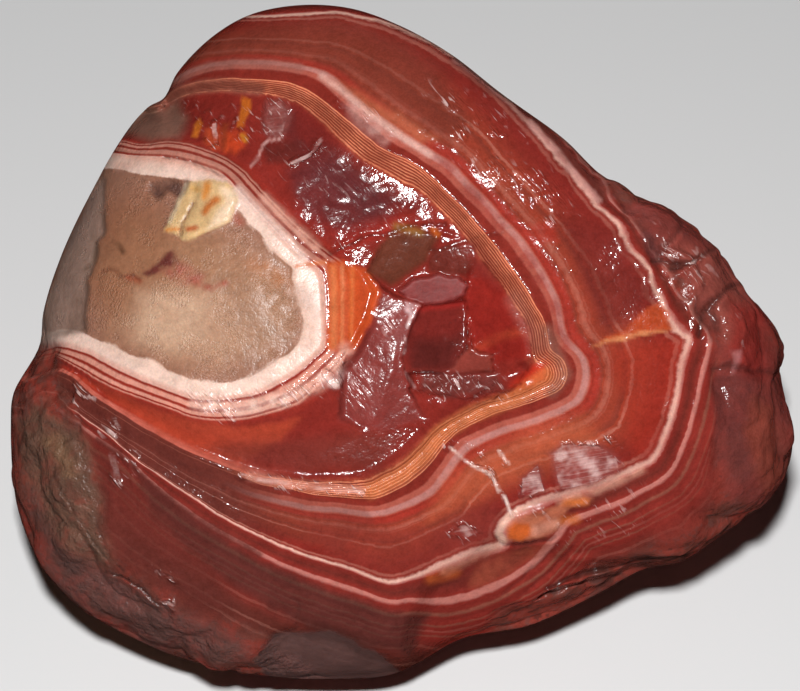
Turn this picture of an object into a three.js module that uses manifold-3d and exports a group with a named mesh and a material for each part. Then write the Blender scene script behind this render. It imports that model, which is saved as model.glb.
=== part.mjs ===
// Lake Superior agate: one water-worn nodule that is broken open on its banded face.
// Millimetres, +Z up. The stone is shaped in its face frame (right, up, out), as its banded face is seen,
// and is then leaned back on its resting flat. Lines on the face are drawn as seen from VIEW_DISTANCE.
import * as THREE from "three";
import { mergeVertices } from "three/addons/utils/BufferGeometryUtils.js";
import Module from "manifold-3d";

// Driving dimensions
const FRONT_RISE = 16; // rim to the top of the banded face
const BACK_RISE = 23; // rim to the deepest point of the back
const BACK_SQUARENESS = 2.4; // 2 is an ellipsoid, more is a flatter face with a tighter rim
const FRONT_SQUARENESS = 2.3;
const SHOULDER_SQUARENESS = 3.0; // added at the upper right shoulder, where the face is flattest
const SHOULDER_ANGLE = THREE.MathUtils.degToRad(45);
const FACE_TILT = THREE.MathUtils.degToRad(48); // how far the face looks up from level
const MIDDLE_HEIGHT = 23.8; // middle of the face frame above the surface the stone rests on
const VIEW_DISTANCE = 320;

// Mesh
const ICO_DETAIL = 21;
const FRONT_DENSITY = 0.35; // pulls vertices from the back to the banded face
const RIM_FADE = [0.02, 0.25]; // relief on the face fades out towards the rim, in sines of latitude

// The rim, as seen facing the bands: left bulge, window side, apex, long slope, notch, right lobe, underside
const RIM = [
  [-29.9, -6.1], [-29.7, -3.7], [-27.7, 0.0], [-27.4, 2.6], [-26.2, 6.4], [-24.2, 10.8], [-20.8, 16.7],
  [-19.3, 18.3], [-18.1, 19.0], [-17.1, 20.9], [-14.6, 23.5], [-11.5, 25.3], [-7.7, 26.0], [-3.8, 25.7],
  [0.0, 24.3], [3.8, 22.1], [7.7, 19.0], [12.3, 15.6], [15.4, 12.7], [16.3, 12.5], [18.5, 11.3],
  [20.6, 10.4], [23.2, 8.0], [25.5, 4.7], [27.5, 2.5], [28.8, 0.0], [29.2, -3.0], [30.2, -7.0],
  [29.7, -9.9], [28.3, -12.1], [25.8, -13.6], [22.2, -16.3], [18.5, -17.3], [15.4, -19.0], [10.0, -21.5],
  [4.8, -22.5], [1.5, -24.3], [-0.8, -25.3], [-4.6, -25.6], [-9.0, -25.5], [-12.3, -25.0], [-16.9, -24.0],
  [-20.8, -22.3], [-23.8, -20.6], [-26.9, -17.6], [-28.5, -15.0], [-29.5, -11.9],
];

// The part of the face that the lake has worn smooth. Outside it the stone keeps its knobbly rind.
const WORN_FACE = [
  [-27.4, 0.6], [-26.4, -0.5], [-26.2, -3.0], [-24.6, -5.7], [-23.5, -9.6], [-22.8, -12.7], [-22.2, -16.1],
  [-19.2, -17.9], [-16.5, -19.4], [-15.4, -20.7], [-10.6, -22.0], [-5.4, -26.5], [2.3, -27.3], [7.7, -21.1],
  [12.3, -18.8], [16.9, -16.3], [22.3, -13.4], [24.2, -10.3], [24.8, -6.5], [24.5, -2.7], [24.0, 0.0],
  [22.3, 3.1], [20.4, 6.2], [18.5, 9.3], [15.8, 12.3], [16.9, 17.3], [12.3, 22.0], [1.5, 26.6],
  [-7.7, 28.9], [-16.9, 26.6], [-21.5, 19.7], [-26.2, 12.7], [-28.5, 3.5],
];

// Broken hollows of the face: each drops by its depth inside its outline, over the width of its edge
const HOLLOWS = [
  {
    name: "recess under the pinstripe ledge",
    depth: 1.5,
    edge: 1.8,
    outline: [
      [-17.7, 18.8], [-13.8, 19.6], [-10.4, 19.3], [-7.9, 18.8], [-4.6, 16.0], [0.0, 12.6], [3.1, 10.3],
      [6.0, 6.9], [3.1, 8.4], [0.0, 9.1], [-4.8, 7.2], [-7.7, 9.5], [-10.6, 12.3], [-13.1, 14.1],
      [-16.2, 15.3], [-20.0, 15.6],
    ],
  },
  {
    name: "broken cavity",
    depth: 1.6,
    edge: 1.8,
    outline: [
      [-4.5, 7.0], [-1.9, 8.1], [0.9, 9.2], [3.8, 9.2], [6.3, 6.6], [8.3, 3.8], [9.9, 1.1], [10.3, -0.9],
      [11.2, -1.7], [8.5, -3.5], [5.4, -4.5], [2.2, -5.7], [0.0, -5.0], [-3.1, -4.0], [-4.4, -1.9],
      [-3.2, 0.6], [-2.1, 3.5], [-2.9, 5.4],
    ],
  },
  {
    name: "pit of the cavity",
    depth: 2.2,
    edge: 2.2,
    outline: [
      [1.2, 2.9], [5.4, 3.6], [8.1, 3.8], [9.5, 1.2], [9.9, -0.7], [7.5, -1.9], [4.2, -3.3], [1.4, -3.0],
      [0.3, -1.1],
    ],
  },
  {
    name: "satin dish below the window",
    depth: 0.6,
    edge: 2.0,
    outline: [
      [-19.2, -5.0], [-15.4, -6.1], [-11.5, -6.0], [-7.7, -4.8], [-4.9, -3.1], [-2.2, -4.7], [1.5, -6.7],
      [-0.2, -9.0], [-2.7, -10.2], [-7.7, -10.2], [-11.5, -9.6], [-15.4, -8.2], [-18.5, -6.8],
    ],
  },
  {
    name: "shelf below the band tongue",
    depth: 1.5,
    edge: 1.8,
    outline: [
      [2.3, -18.4], [5.4, -16.7], [7.8, -14.8], [8.6, -15.5], [12.3, -15.7], [16.9, -16.3], [22.3, -16.2],
      [24.6, -19.6], [12.3, -27.3], [1.5, -27.3], [0.8, -22.7],
    ],
  },
  {
    name: "chipped flank beside the window",
    depth: 1.0,
    edge: 1.6,
    outline: [
      [-29.2, 0.0], [-27.7, 6.4], [-23.8, 13.9], [-21.8, 13.4], [-23.2, 8.9], [-24.2, 1.8], [-26.0, 1.4],
      [-27.4, 0.7],
    ],
  },
  {
    name: "spalled chip at the foot",
    depth: 1.2,
    edge: 1.6,
    outline: [
      [-11.2, -24.6], [-9.8, -22.4], [-7.7, -21.8], [-4.6, -22.4], [-1.9, -23.6], [0.3, -25.0],
      [-0.8, -28.8], [-10.0, -28.8],
    ],
  },
];

// Raised cords and cut grooves that follow a line on the face: a negative height is a groove
const CORDS = [
  {
    name: "pinstripe cord",
    height: 0.6,
    width: 1.1,
    line: [
      [-7.7, -11.0], [-2.7, -11.2], [0.0, -10.0], [2.3, -8.0], [4.6, -6.3], [7.7, -4.8], [10.8, -3.6],
      [12.0, -2.2],
    ],
  },
  {
    name: "groove outside the cord",
    height: -0.6,
    width: 0.8,
    line: [[-1.2, -12.3], [1.5, -10.7], [3.2, -8.9], [5.4, -6.8], [8.5, -5.3], [11.5, -4.3]],
  },
  {
    name: "upper stratum",
    height: 0.6,
    width: 0.7,
    line: [[13.5, -16.6], [16.9, -16.2], [20.0, -16.0], [23.1, -15.7]],
  },
  {
    name: "middle stratum",
    height: 0.7,
    width: 0.7,
    line: [[12.0, -19.0], [15.4, -17.7], [18.5, -17.0], [21.5, -16.4]],
  },
  {
    name: "lower stratum",
    height: 0.6,
    width: 0.7,
    line: [[10.4, -20.9], [13.5, -19.4], [16.3, -18.3]],
  },
];

// Rounded lumps and dents of the face: right, up, radius, height
const LUMPS = [
  // broad swells of the worn face
  [5.4, 15.8, 7.0, 0.2], [-15.4, 3.5, 7.0, 0.6], [12.3, -9.2, 5.4, 0.6], [16.9, -14.6, 2.4, 0.5],
  // knobs of the right lobe
  [20.6, 9.0, 2.2, 0.7], [23.1, 6.3, 2.0, 0.7], [24.9, 3.8, 1.7, 0.6], [26.8, 1.0, 2.0, 0.6],
  [28.0, -2.0, 2.1, 0.5], [27.3, -6.7, 3.4, 0.8], [23.1, 3.5, 1.4, 0.5], [22.3, -12.7, 2.0, 0.4],
  // dents between the knobs
  [20.2, 6.4, 1.1, -0.7], [24.0, 2.1, 1.1, -0.6], [25.0, -3.0, 1.7, -0.5], [16.5, 11.6, 0.9, -0.6],
  // lumps and dents of the left bulge and the foot
  [-26.5, -6.1, 3.0, 0.5], [-27.3, -11.1, 2.6, 0.4], [-25.0, -15.3, 2.2, 0.5], [-21.7, -19.0, 1.8, -0.6],
  [-19.2, -20.5, 1.7, 0.5], [-23.5, -17.7, 1.5, -0.4], [3.8, -22.7, 2.0, 0.4], [10.8, -19.6, 2.0, 0.4],
];

// Old breaks of the back, each a flat facet: how it faces, and its distance from the middle of the face frame
const BACK_BREAKS = [
  { faces: [0.5, 0.55, -0.67], distance: 21.6 },
  { faces: [-0.62, 0.42, -0.66], distance: 23.6 },
  { faces: [0.72, -0.42, -0.55], distance: 25.8 },
  { faces: [-0.2, 0.1, -0.97], distance: 23.2 },
];
const BREAK_WEAR = 2; // how far to each side the edges of these breaks are worn round

// Rind: uneven lumps on the back and the unworn parts of the face, and round pits on the back
const BODY_SWELL = { height: 1.0, wavelength: 19 };
const RIND_LUMP = { height: 0.6, wavelength: 6.5 };
const RIND_KNOB = { height: 0.4, wavelength: 3.4 };
const PITS = { count: 46, radius: 1.8, depth: 0.9 };
const GOLDEN_ANGLE = Math.PI * (3 - Math.sqrt(5));

const STONE_COLOUR = 0x8a3022;

/** 0 below low, 1 above high, with a smooth rise between them. */
const rise = (low, high, x) => THREE.MathUtils.smoothstep(x, low, high);

/** Radius of a closed smooth curve around the frame's middle, as a function of the angle. */
function polarRadius(points) {
  const curve = new THREE.CatmullRomCurve3(points.map(([x, y]) => new THREE.Vector3(x, y, 0)), true);
  const samples = curve
    .getPoints(points.length * 12)
    .slice(1)
    .map((p) => ({ angle: Math.atan2(p.y, p.x), radius: Math.hypot(p.x, p.y) }))
    .sort((a, b) => a.angle - b.angle);
  return (angle) => {
    const found = samples.findIndex((s) => s.angle >= angle);
    const after = samples[Math.max(found, 0)];
    const before = samples.at(found - 1);
    const turn = 2 * Math.PI;
    const gap = (after.angle - before.angle + turn) % turn;
    const share = gap > 0 ? ((angle - before.angle + turn) % turn) / gap : 0;
    return THREE.MathUtils.lerp(before.radius, after.radius, Math.min(share, 1));
  };
}

/** Distance from a point to the segment between two points, all in the plane of the face. */
function segmentDistance([px, py], [ax, ay], [bx, by]) {
  const [dx, dy] = [bx - ax, by - ay];
  const along = THREE.MathUtils.clamp(((px - ax) * dx + (py - ay) * dy) / (dx * dx + dy * dy), 0, 1);
  return Math.hypot(px - ax - along * dx, py - ay - along * dy);
}

/** Distance from a point to an open line. */
function lineDistance(point, line) {
  return Math.min(...line.slice(1).map((end, i) => segmentDistance(point, line[i], end)));
}

/** Distance from a point to a closed outline, positive inside it. */
function insideDistance(point, outline) {
  const [px, py] = point;
  let inside = false;
  let nearest = Infinity;
  outline.forEach((a, i) => {
    const b = outline[(i + 1) % outline.length];
    nearest = Math.min(nearest, segmentDistance(point, a, b));
    const crosses = a[1] > py !== b[1] > py;
    if (crosses && px < ((b[0] - a[0]) * (py - a[1])) / (b[1] - a[1]) + a[0]) inside = !inside;
  });
  return inside ? nearest : -nearest;
}

/** Smooth lattice noise from -1 to 1 at a point in space. */
function latticeNoise(x, y, z) {
  const hash = (i, j, k) => {
    const s = Math.sin(i * 127.1 + j * 311.7 + k * 74.7) * 43758.5453;
    return 2 * (s - Math.floor(s)) - 1;
  };
  const [i, j, k] = [x, y, z].map(Math.floor);
  const [fx, fy, fz] = [x - i, y - j, z - k].map((f) => f * f * (3 - 2 * f));
  const mix = THREE.MathUtils.lerp;
  const row = (dj, dk) => mix(hash(i, j + dj, k + dk), hash(i + 1, j + dj, k + dk), fx);
  return mix(mix(row(0, 0), row(1, 0), fy), mix(row(0, 1), row(1, 1), fy), fz);
}

/** Uneven lumps of one wavelength at a point in space. */
function lumps(point, { height, wavelength }) {
  const p = point.clone().divideScalar(wavelength);
  return height * latticeNoise(p.x, p.y, p.z);
}

/** Where a place of the stone is seen on the face, from the viewing distance. */
function seenFrom(point) {
  const scale = VIEW_DISTANCE / (VIEW_DISTANCE - point.z);
  return [point.x * scale, point.y * scale];
}

/** How far the face stands out at a seen place, from its hollows, cords and lumps. */
function faceRelief(seen) {
  let height = 0;
  for (const { depth, edge, outline } of HOLLOWS) {
    height -= depth * rise(-edge / 2, edge / 2, insideDistance(seen, outline));
  }
  for (const cord of CORDS) {
    height += cord.height * Math.exp(-((lineDistance(seen, cord.line) / cord.width) ** 2));
  }
  for (const [right, up, radius, lump] of LUMPS) {
    height += lump * Math.exp(-(((seen[0] - right) ** 2 + (seen[1] - up) ** 2) / radius ** 2));
  }
  return height;
}

const rimRadius = polarRadius(RIM);

/** The plain body without relief, at a direction from its middle. */
function bodyPoint(direction) {
  const latitude = Math.asin(THREE.MathUtils.clamp(direction.z, -1, 1));
  const moved = latitude + FRONT_DENSITY * Math.cos(latitude);
  const [across, out] = [Math.cos(moved), Math.sin(moved)];
  const angle = Math.atan2(direction.y, direction.x);
  const shoulder = Math.max(Math.cos(angle - SHOULDER_ANGLE), 0) ** 2;
  const front = FRONT_SQUARENESS + SHOULDER_SQUARENESS * shoulder;
  const square = out > 0 ? front : BACK_SQUARENESS;
  const reach = (across ** square + Math.abs(out) ** square) ** (-1 / square);
  const radius = rimRadius(angle) * across * reach;
  const depth = (out > 0 ? FRONT_RISE : BACK_RISE) * out * reach;
  return { point: new THREE.Vector3(radius * Math.cos(angle), radius * Math.sin(angle), depth), out };
}

/** Middles of the pits, spread over the back along a golden spiral. */
function pitMiddles() {
  return Array.from({ length: PITS.count }, (_, i) => {
    const out = -(i + 0.5) / PITS.count;
    const across = Math.sqrt(1 - out * out);
    const turn = i * GOLDEN_ANGLE;
    return bodyPoint(new THREE.Vector3(across * Math.cos(turn), across * Math.sin(turn), out)).point;
  });
}

/** Breaks a point off at the worn facets of the back. */
function breakOff(point) {
  for (const { faces, distance } of BACK_BREAKS) {
    const normal = new THREE.Vector3(...faces).normalize();
    const beyond = point.dot(normal) - distance;
    const worn = (Math.max(beyond + BREAK_WEAR, 0) ** 2) / (4 * BREAK_WEAR);
    point.addScaledVector(normal, -(beyond > BREAK_WEAR ? beyond : worn));
  }
  return point;
}

/** One vertex of the finished stone in its face frame, from its direction. */
function stonePoint(direction, pits) {
  const { point, out } = bodyPoint(direction);
  const front = rise(...RIM_FADE, out);
  const back = rise(...RIM_FADE, -out);
  const seen = seenFrom(point);
  const worn = rise(-0.8, 0.8, insideDistance(seen, WORN_FACE)) * rise(-0.1, 0.1, out);
  breakOff(point);
  const outward = point.clone().normalize();
  const rind = Math.max(front, back) * (1 - worn);
  let swell = back * lumps(point, BODY_SWELL) + rind * (lumps(point, RIND_LUMP) + lumps(point, RIND_KNOB));
  for (const pit of pits) {
    swell -= back * PITS.depth * Math.exp(-point.distanceToSquared(pit) / PITS.radius ** 2);
  }
  point.addScaledVector(outward, swell);
  point.z += front * faceRelief(seen);
  return point;
}

const wasm = await Module();
wasm.setup();

/** A geometry with its equal corners made one vertex. */
function welded(geometry) {
  const bare = geometry.clone();
  bare.deleteAttribute("normal");
  bare.deleteAttribute("uv");
  return mergeVertices(bare, 1e-4);
}

/** A closed geometry as a solid that can be cut. */
function solidOf(geometry) {
  const { attributes, index } = welded(geometry);
  return new wasm.Manifold(
    new wasm.Mesh({
      numProp: 3,
      vertProperties: new Float32Array(attributes.position.array),
      triVerts: new Uint32Array(index.array),
    }),
  );
}

/** A cut solid back as a geometry. */
function geometryOf(solid) {
  const { numProp, vertProperties, triVerts } = solid.getMesh();
  const corners = new Float32Array(triVerts.length * 3);
  triVerts.forEach((vertex, i) => {
    corners.set(vertProperties.subarray(vertex * numProp, vertex * numProp + 3), i * 3);
  });
  const geometry = new THREE.BufferGeometry();
  geometry.setAttribute("position", new THREE.BufferAttribute(corners, 3));
  geometry.computeVertexNormals();
  return geometry;
}

/** The whole stone in its face frame. */
function stoneGeometry() {
  const geometry = welded(new THREE.IcosahedronGeometry(1, ICO_DETAIL));
  const position = geometry.attributes.position;
  const pits = pitMiddles();
  const direction = new THREE.Vector3();
  for (let i = 0; i < position.count; i++) {
    direction.fromBufferAttribute(position, i).normalize();
    position.setXYZ(i, ...stonePoint(direction, pits));
  }
  return geometry;
}

/** The stone leaned back and lifted, with what would lie below the surface cut off flat. */
function restingGeometry() {
  const leaned = stoneGeometry()
    .rotateX(Math.PI / 2 - FACE_TILT)
    .translate(0, 0, MIDDLE_HEIGHT);
  const under = new THREE.BoxGeometry(200, 200, 60).translate(0, 0, -30);
  return geometryOf(solidOf(leaned).subtract(solidOf(under)));
}

const agate = new THREE.Mesh(
  restingGeometry(),
  new THREE.MeshStandardMaterial({ color: STONE_COLOUR, roughness: 0.3, metalness: 0 }),
);
agate.name = "agate";

const stone = new THREE.Group();
stone.add(agate);

export default stone;
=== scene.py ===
"""Looks of the Lake Superior agate: one water-worn stone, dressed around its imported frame.

The stone is shaped in its face frame (right, up, out, in millimetres), as its banded face is looked at,
and is then leaned back on its resting flat. Places read from the photograph are pixels of its frame of
800 x 691.
"""

import logging
import math
from dataclasses import dataclass
from enum import Enum
from typing import ClassVar

import bpy
import numpy as np
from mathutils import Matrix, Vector


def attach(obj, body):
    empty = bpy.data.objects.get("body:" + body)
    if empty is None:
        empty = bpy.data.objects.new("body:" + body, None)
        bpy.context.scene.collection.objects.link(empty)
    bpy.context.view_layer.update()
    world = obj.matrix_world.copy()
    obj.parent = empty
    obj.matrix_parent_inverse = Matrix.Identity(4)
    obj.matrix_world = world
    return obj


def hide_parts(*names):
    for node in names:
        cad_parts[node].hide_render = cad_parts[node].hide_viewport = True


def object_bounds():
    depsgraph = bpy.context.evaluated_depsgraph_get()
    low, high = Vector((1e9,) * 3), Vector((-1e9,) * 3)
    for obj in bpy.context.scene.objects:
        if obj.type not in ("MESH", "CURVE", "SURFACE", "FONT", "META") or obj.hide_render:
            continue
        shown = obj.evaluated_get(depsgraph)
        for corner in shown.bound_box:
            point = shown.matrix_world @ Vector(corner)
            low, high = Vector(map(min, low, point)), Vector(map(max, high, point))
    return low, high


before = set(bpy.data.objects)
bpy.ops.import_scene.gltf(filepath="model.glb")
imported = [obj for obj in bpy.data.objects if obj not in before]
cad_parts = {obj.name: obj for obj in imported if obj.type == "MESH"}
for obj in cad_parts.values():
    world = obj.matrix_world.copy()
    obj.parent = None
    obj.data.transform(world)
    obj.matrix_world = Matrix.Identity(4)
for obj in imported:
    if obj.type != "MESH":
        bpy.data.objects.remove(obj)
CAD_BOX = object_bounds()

Array = np.ndarray
Span = tuple[float, float]
Trace = tuple[Span, ...]
Spot = tuple[float, float, float]
Colour = tuple[float, float, float]
Shade = tuple[int, int, int]
Socket = bpy.types.NodeSocket

LOG = logging.getLogger("agate")
MM = 0.001
LATTICE_MIX = (127.1, 311.7, 74.7)
LATTICE_SPREAD = 43758.5453


def srgb(red: int, green: int, blue: int) -> Colour:
    """Linear colour of an sRGB one.

    Args:
        red: red from 0 to 255.
        green: green from 0 to 255.
        blue: blue from 0 to 255.

    Returns:
        The colour as three linear values from 0 to 1.
    """
    parts = []
    for value in (red, green, blue):
        share = value / 255
        parts.append(share / 12.92 if share <= 0.04045 else ((share + 0.055) / 1.055) ** 2.4)
    return parts[0], parts[1], parts[2]


def rise(low: float, high: float, x: Array) -> Array:
    """Smooth step from 0 at low to 1 at high."""
    t = np.clip((x - low) / (high - low), 0, 1)
    return t * t * (3 - 2 * t)


def lattice_noise(points: Array, wavelength: float) -> Array:
    """Smooth lattice noise in space, the same as in the part's source.

    Args:
        points: places, one row of three values each.
        wavelength: size of one lattice cell.

    Returns:
        Noise from -1 to 1 at each place.
    """
    scaled = points / wavelength
    cell = np.floor(scaled)
    f = scaled - cell
    f = f * f * (3 - 2 * f)

    def corner(dx: int, dy: int, dz: int) -> Array:
        """Random value of one lattice corner."""
        x, y, z = ((cell[:, axis] + step) * LATTICE_MIX[axis] for axis, step in enumerate((dx, dy, dz)))
        mixed = np.sin(x + y + z) * LATTICE_SPREAD
        return 2 * (mixed - np.floor(mixed)) - 1

    def row(dy: int, dz: int) -> Array:
        """Blend along the first axis."""
        return corner(0, dy, dz) * (1 - f[:, 0]) + corner(1, dy, dz) * f[:, 0]

    near = row(0, 0) * (1 - f[:, 1]) + row(1, 0) * f[:, 1]
    far = row(0, 1) * (1 - f[:, 1]) + row(1, 1) * f[:, 1]
    return near * (1 - f[:, 2]) + far * f[:, 2]


def ridged_noise(points: Array, wavelength: float) -> Array:
    """Noise with sharp crests, from 0 in the valleys to 1 on the crests."""
    return 1 - np.abs(lattice_noise(points, wavelength))


def at_level(places: Array, level: float = 0.0) -> Array:
    """Places of a plane laid at one level of the noise's space."""
    return np.column_stack([places, np.full(len(places), level)])


def squared_distance(places: Array, a: Span, b: Span) -> Array:
    """Squared distance of places from one segment.

    Args:
        places: places in a plane, one row of two values each.
        a: one end of the segment.
        b: the other end.

    Returns:
        The squared distance of each place.
    """
    run_x, run_y = b[0] - a[0], b[1] - a[1]
    x, y = places[:, 0] - a[0], places[:, 1] - a[1]
    along = np.clip((x * run_x + y * run_y) / max(run_x**2 + run_y**2, 1e-9), 0, 1)
    return (x - along * run_x) ** 2 + (y - along * run_y) ** 2


def line_distance(places: Array, line: Trace) -> Array:
    """Distance of places from an open line."""
    return np.sqrt(np.min([squared_distance(places, a, b) for a, b in zip(line, line[1:])], axis=0))


def inside_distance(places: Array, outline: Trace) -> Array:
    """Distance of places from a closed outline, positive inside it.

    Args:
        places: places in a plane, one row of two values each.
        outline: the corners in order.

    Returns:
        The signed distance of each place.
    """
    nearest = np.full(len(places), np.inf)
    inside = np.zeros(len(places), bool)
    x, y = places[:, 0], places[:, 1]
    for a, b in zip(outline, outline[1:] + outline[:1]):
        nearest = np.minimum(nearest, squared_distance(places, a, b))
        if a[1] != b[1]:
            crosses = (a[1] > y) != (b[1] > y)
            inside ^= crosses & (x < (b[0] - a[0]) * (y - a[1]) / (b[1] - a[1]) + a[0])
    return np.where(inside, 1, -1) * np.sqrt(nearest)


def rounded(outline: Trace, steps: int = 3) -> Trace:
    """A closed outline with its corners rounded, through the same points.

    Args:
        outline: the corners in order.
        steps: points for each stretch between corners.

    Returns:
        The rounded outline.
    """
    p = np.array(outline, float)
    before, after, second = np.roll(p, 1, 0), np.roll(p, -1, 0), np.roll(p, -2, 0)
    curve = []
    for t in np.arange(steps) / steps:
        cubic = (3 * p - before - 3 * after + second) * t**3
        square = (2 * before - 5 * p + 4 * after - second) * t**2
        curve.append(p + 0.5 * (cubic + square + (after - before) * t))
    return tuple(map(tuple, np.stack(curve, axis=1).reshape(-1, 2)))


@dataclass(frozen=True)
class FaceFrame:
    """How the banded face is looked at, and how its frame sits in the part's frame."""

    tilt: float = math.radians(48)
    middle_height: float = 23.8
    view_distance: float = 320.0
    pixels_per_mm: float = 13.0
    image_middle: Span = (400.0, 345.5)
    image_width: float = 800.0

    def seen(self, points: Array) -> Array:
        """Pixels at which points of the face frame are seen.

        Args:
            points: places in the face frame, in millimetres.

        Returns:
            Pixel columns and rows, one row of two values each.
        """
        scale = self.pixels_per_mm * self.view_distance / (self.view_distance - points[:, 2])
        column = self.image_middle[0] + points[:, 0] * scale
        line = self.image_middle[1] - points[:, 1] * scale
        return np.stack([column, line], axis=1)

    def plane(self, seen: Array) -> Array:
        """Seen pixels as places in the plane of the face, in millimetres."""
        return (seen - np.array(self.image_middle)) / self.pixels_per_mm * np.array([1, -1])

    def in_part(self, points: Array) -> Array:
        """Points of the face frame in the part's frame, in millimetres.

        Args:
            points: places in the face frame.

        Returns:
            The same places with +Z up from the resting flat.
        """
        sine, cosine = math.sin(self.tilt), math.cos(self.tilt)
        right, up, out = points.T
        height = up * cosine + out * sine + self.middle_height
        return np.stack([right, up * sine - out * cosine, height], axis=1)


FACE = FaceFrame()


class Side(Enum):
    """The two sides of the face that the band corner at the right parts."""

    UPPER = "upper"
    LOWER = "lower"


@dataclass(frozen=True)
class Facet:
    """One flat break of the cavity: its outline in pixels, its depth in its middle and how that grows.

    The growth is in millimetres for each ten pixels to the right and down.
    """

    outline: Trace
    depth: float
    growth: Span = (0.0, 0.0)
    soft: float = 2.0

    def cut(self, seen: Array, depth: Array) -> Array:
        """Depth of the cavity with this facet cut into it.

        Args:
            seen: pixels at which the places are seen.
            depth: depth of the cavity so far, in millimetres.

        Returns:
            The new depth.
        """
        middle = np.mean(self.outline, axis=0)
        plane = self.depth + (seen - middle) @ np.array(self.growth) / 10
        cover = rise(-self.soft, self.soft, inside_distance(seen, self.outline))
        return depth * (1 - cover) + plane * cover


# inner edge of the white band
WHITE_INNER: Trace = (
    (80, 172), (120, 171), (150, 177), (180, 180), (215, 190), (238, 208), (262, 235), (285, 262),
    (293, 269), (292, 277), (298, 292), (303, 315), (300, 340), (285, 352), (265, 368), (240, 378),
    (215, 380), (190, 378), (150, 362), (120, 350), (90, 335), (60, 328), (45, 333), (0, 330), (-60, 260),
    (20, 190),
)

# outer edge of the white band
WHITE_OUTER: Trace = (
    (90, 152), (128, 155), (165, 157), (200, 165), (228, 177), (242, 192), (270, 222), (300, 253),
    (320, 268), (325, 285), (327, 315), (327, 345), (316, 357), (300, 371), (270, 388), (240, 397),
    (200, 399), (170, 393), (140, 382), (100, 362), (75, 350), (50, 347), (0, 350), (-80, 260), (0, 170),
)

# outermost of the thin lines around the white band
THIN_OUTER: Trace = (
    (110, 140), (140, 143), (170, 141), (200, 147), (240, 165), (265, 190), (300, 225), (335, 255),
    (350, 266), (356, 285), (356, 320), (350, 352), (340, 366), (325, 382), (300, 403), (270, 413),
    (240, 420), (200, 419), (150, 405), (110, 390), (70, 366), (48, 357), (0, 362), (-100, 260), (0, 150),
)

# inner edge of the pinstripes
STRIPES_INNER: Trace = (
    (150, 112), (160, 106), (180, 96), (200, 91), (225, 89), (250, 91), (275, 94), (295, 100), (315, 113),
    (340, 136), (365, 158), (400, 180), (420, 190), (440, 210), (465, 235), (480, 255), (500, 280),
    (515, 303), (528, 325), (532, 345), (535, 360), (545, 365), (548, 372), (545, 380), (530, 388),
    (510, 398), (490, 402), (470, 410), (440, 425), (420, 445), (400, 462), (380, 473), (365, 481),
    (330, 483), (290, 481), (250, 473), (200, 455), (150, 430), (119, 412), (92, 393), (60, 369), (0, 372),
    (-120, 260), (0, 130),
)

# outer edge of the pinstripes
STRIPES_OUTER: Trace = (
    (150, 108), (163, 100), (180, 89), (200, 83), (230, 80), (260, 82), (285, 84), (300, 89), (320, 100),
    (345, 119), (380, 147), (400, 158), (425, 172), (445, 193), (470, 220), (490, 243), (510, 268),
    (530, 299), (545, 325), (548, 345), (553, 353), (562, 360), (566, 375), (560, 388), (545, 396),
    (520, 406), (500, 412), (470, 425), (447, 441), (430, 462), (410, 480), (385, 494), (367, 499),
    (330, 496), (290, 489), (250, 480), (200, 461), (150, 437), (117, 418), (89, 398), (55, 374), (0, 380),
    (-130, 260), (0, 115),
)

# inner edge of the lilac band
LILAC_INNER: Trace = (
    (150, 104), (164, 94), (176, 84), (190, 77), (210, 71), (235, 68), (270, 69), (300, 73), (320, 81),
    (340, 98), (370, 122), (400, 145), (425, 160), (445, 173), (460, 190), (480, 210), (500, 232),
    (520, 255), (540, 285), (552, 310), (556, 335), (562, 345), (574, 358), (578, 375), (572, 394),
    (560, 402), (530, 415), (500, 425), (470, 436), (452, 450), (440, 466), (425, 485), (400, 499),
    (375, 508), (340, 505), (300, 500), (250, 488), (200, 469), (150, 443), (115, 423), (86, 402),
    (50, 378), (0, 388), (-140, 260), (0, 105),
)

# outer edge of the lilac band
LILAC_OUTER: Trace = (
    (150, 98), (164, 87), (176, 76), (190, 68), (210, 62), (235, 59), (270, 60), (300, 64), (325, 71),
    (350, 89), (380, 112), (410, 133), (435, 149), (455, 162), (472, 181), (492, 201), (512, 223),
    (532, 247), (552, 279), (564, 306), (569, 333), (575, 342), (588, 356), (592, 376), (585, 401),
    (568, 413), (535, 427), (505, 437), (478, 448), (463, 460), (451, 476), (434, 496), (404, 511),
    (375, 520), (338, 516), (298, 511), (247, 498), (198, 478), (150, 451), (112, 429), (82, 407),
    (45, 383), (0, 395), (-150, 260), (0, 90),
)

# first outer white line, broken and shifted at the tongue
FIRST_LINE: Trace = (
    (120, 42), (200, 20), (250, 16), (282, 15), (320, 13), (360, 16), (401, 29), (443, 51), (473, 72),
    (501, 95), (529, 126), (554, 154), (575, 182), (593, 201), (608, 216), (618, 225), (626, 238),
    (630, 248), (641, 265), (648, 273), (651, 285), (656, 297), (664, 308), (669, 322), (675, 332),
    (686, 338), (687, 344), (681, 365), (676, 394), (668, 419), (659, 443), (652, 457), (638, 465),
    (618, 474), (598, 482), (578, 488), (558, 494), (538, 500), (522, 506), (508, 513), (499, 522),
    (495, 533), (500, 544), (470, 550), (455, 556), (440, 563), (425, 571), (410, 577), (388, 583),
    (360, 573), (320, 560), (280, 545), (240, 526), (200, 503), (160, 478), (140, 466), (122, 451),
    (105, 434), (76, 412), (40, 390), (0, 402), (-170, 260), (0, 60),
)

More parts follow.
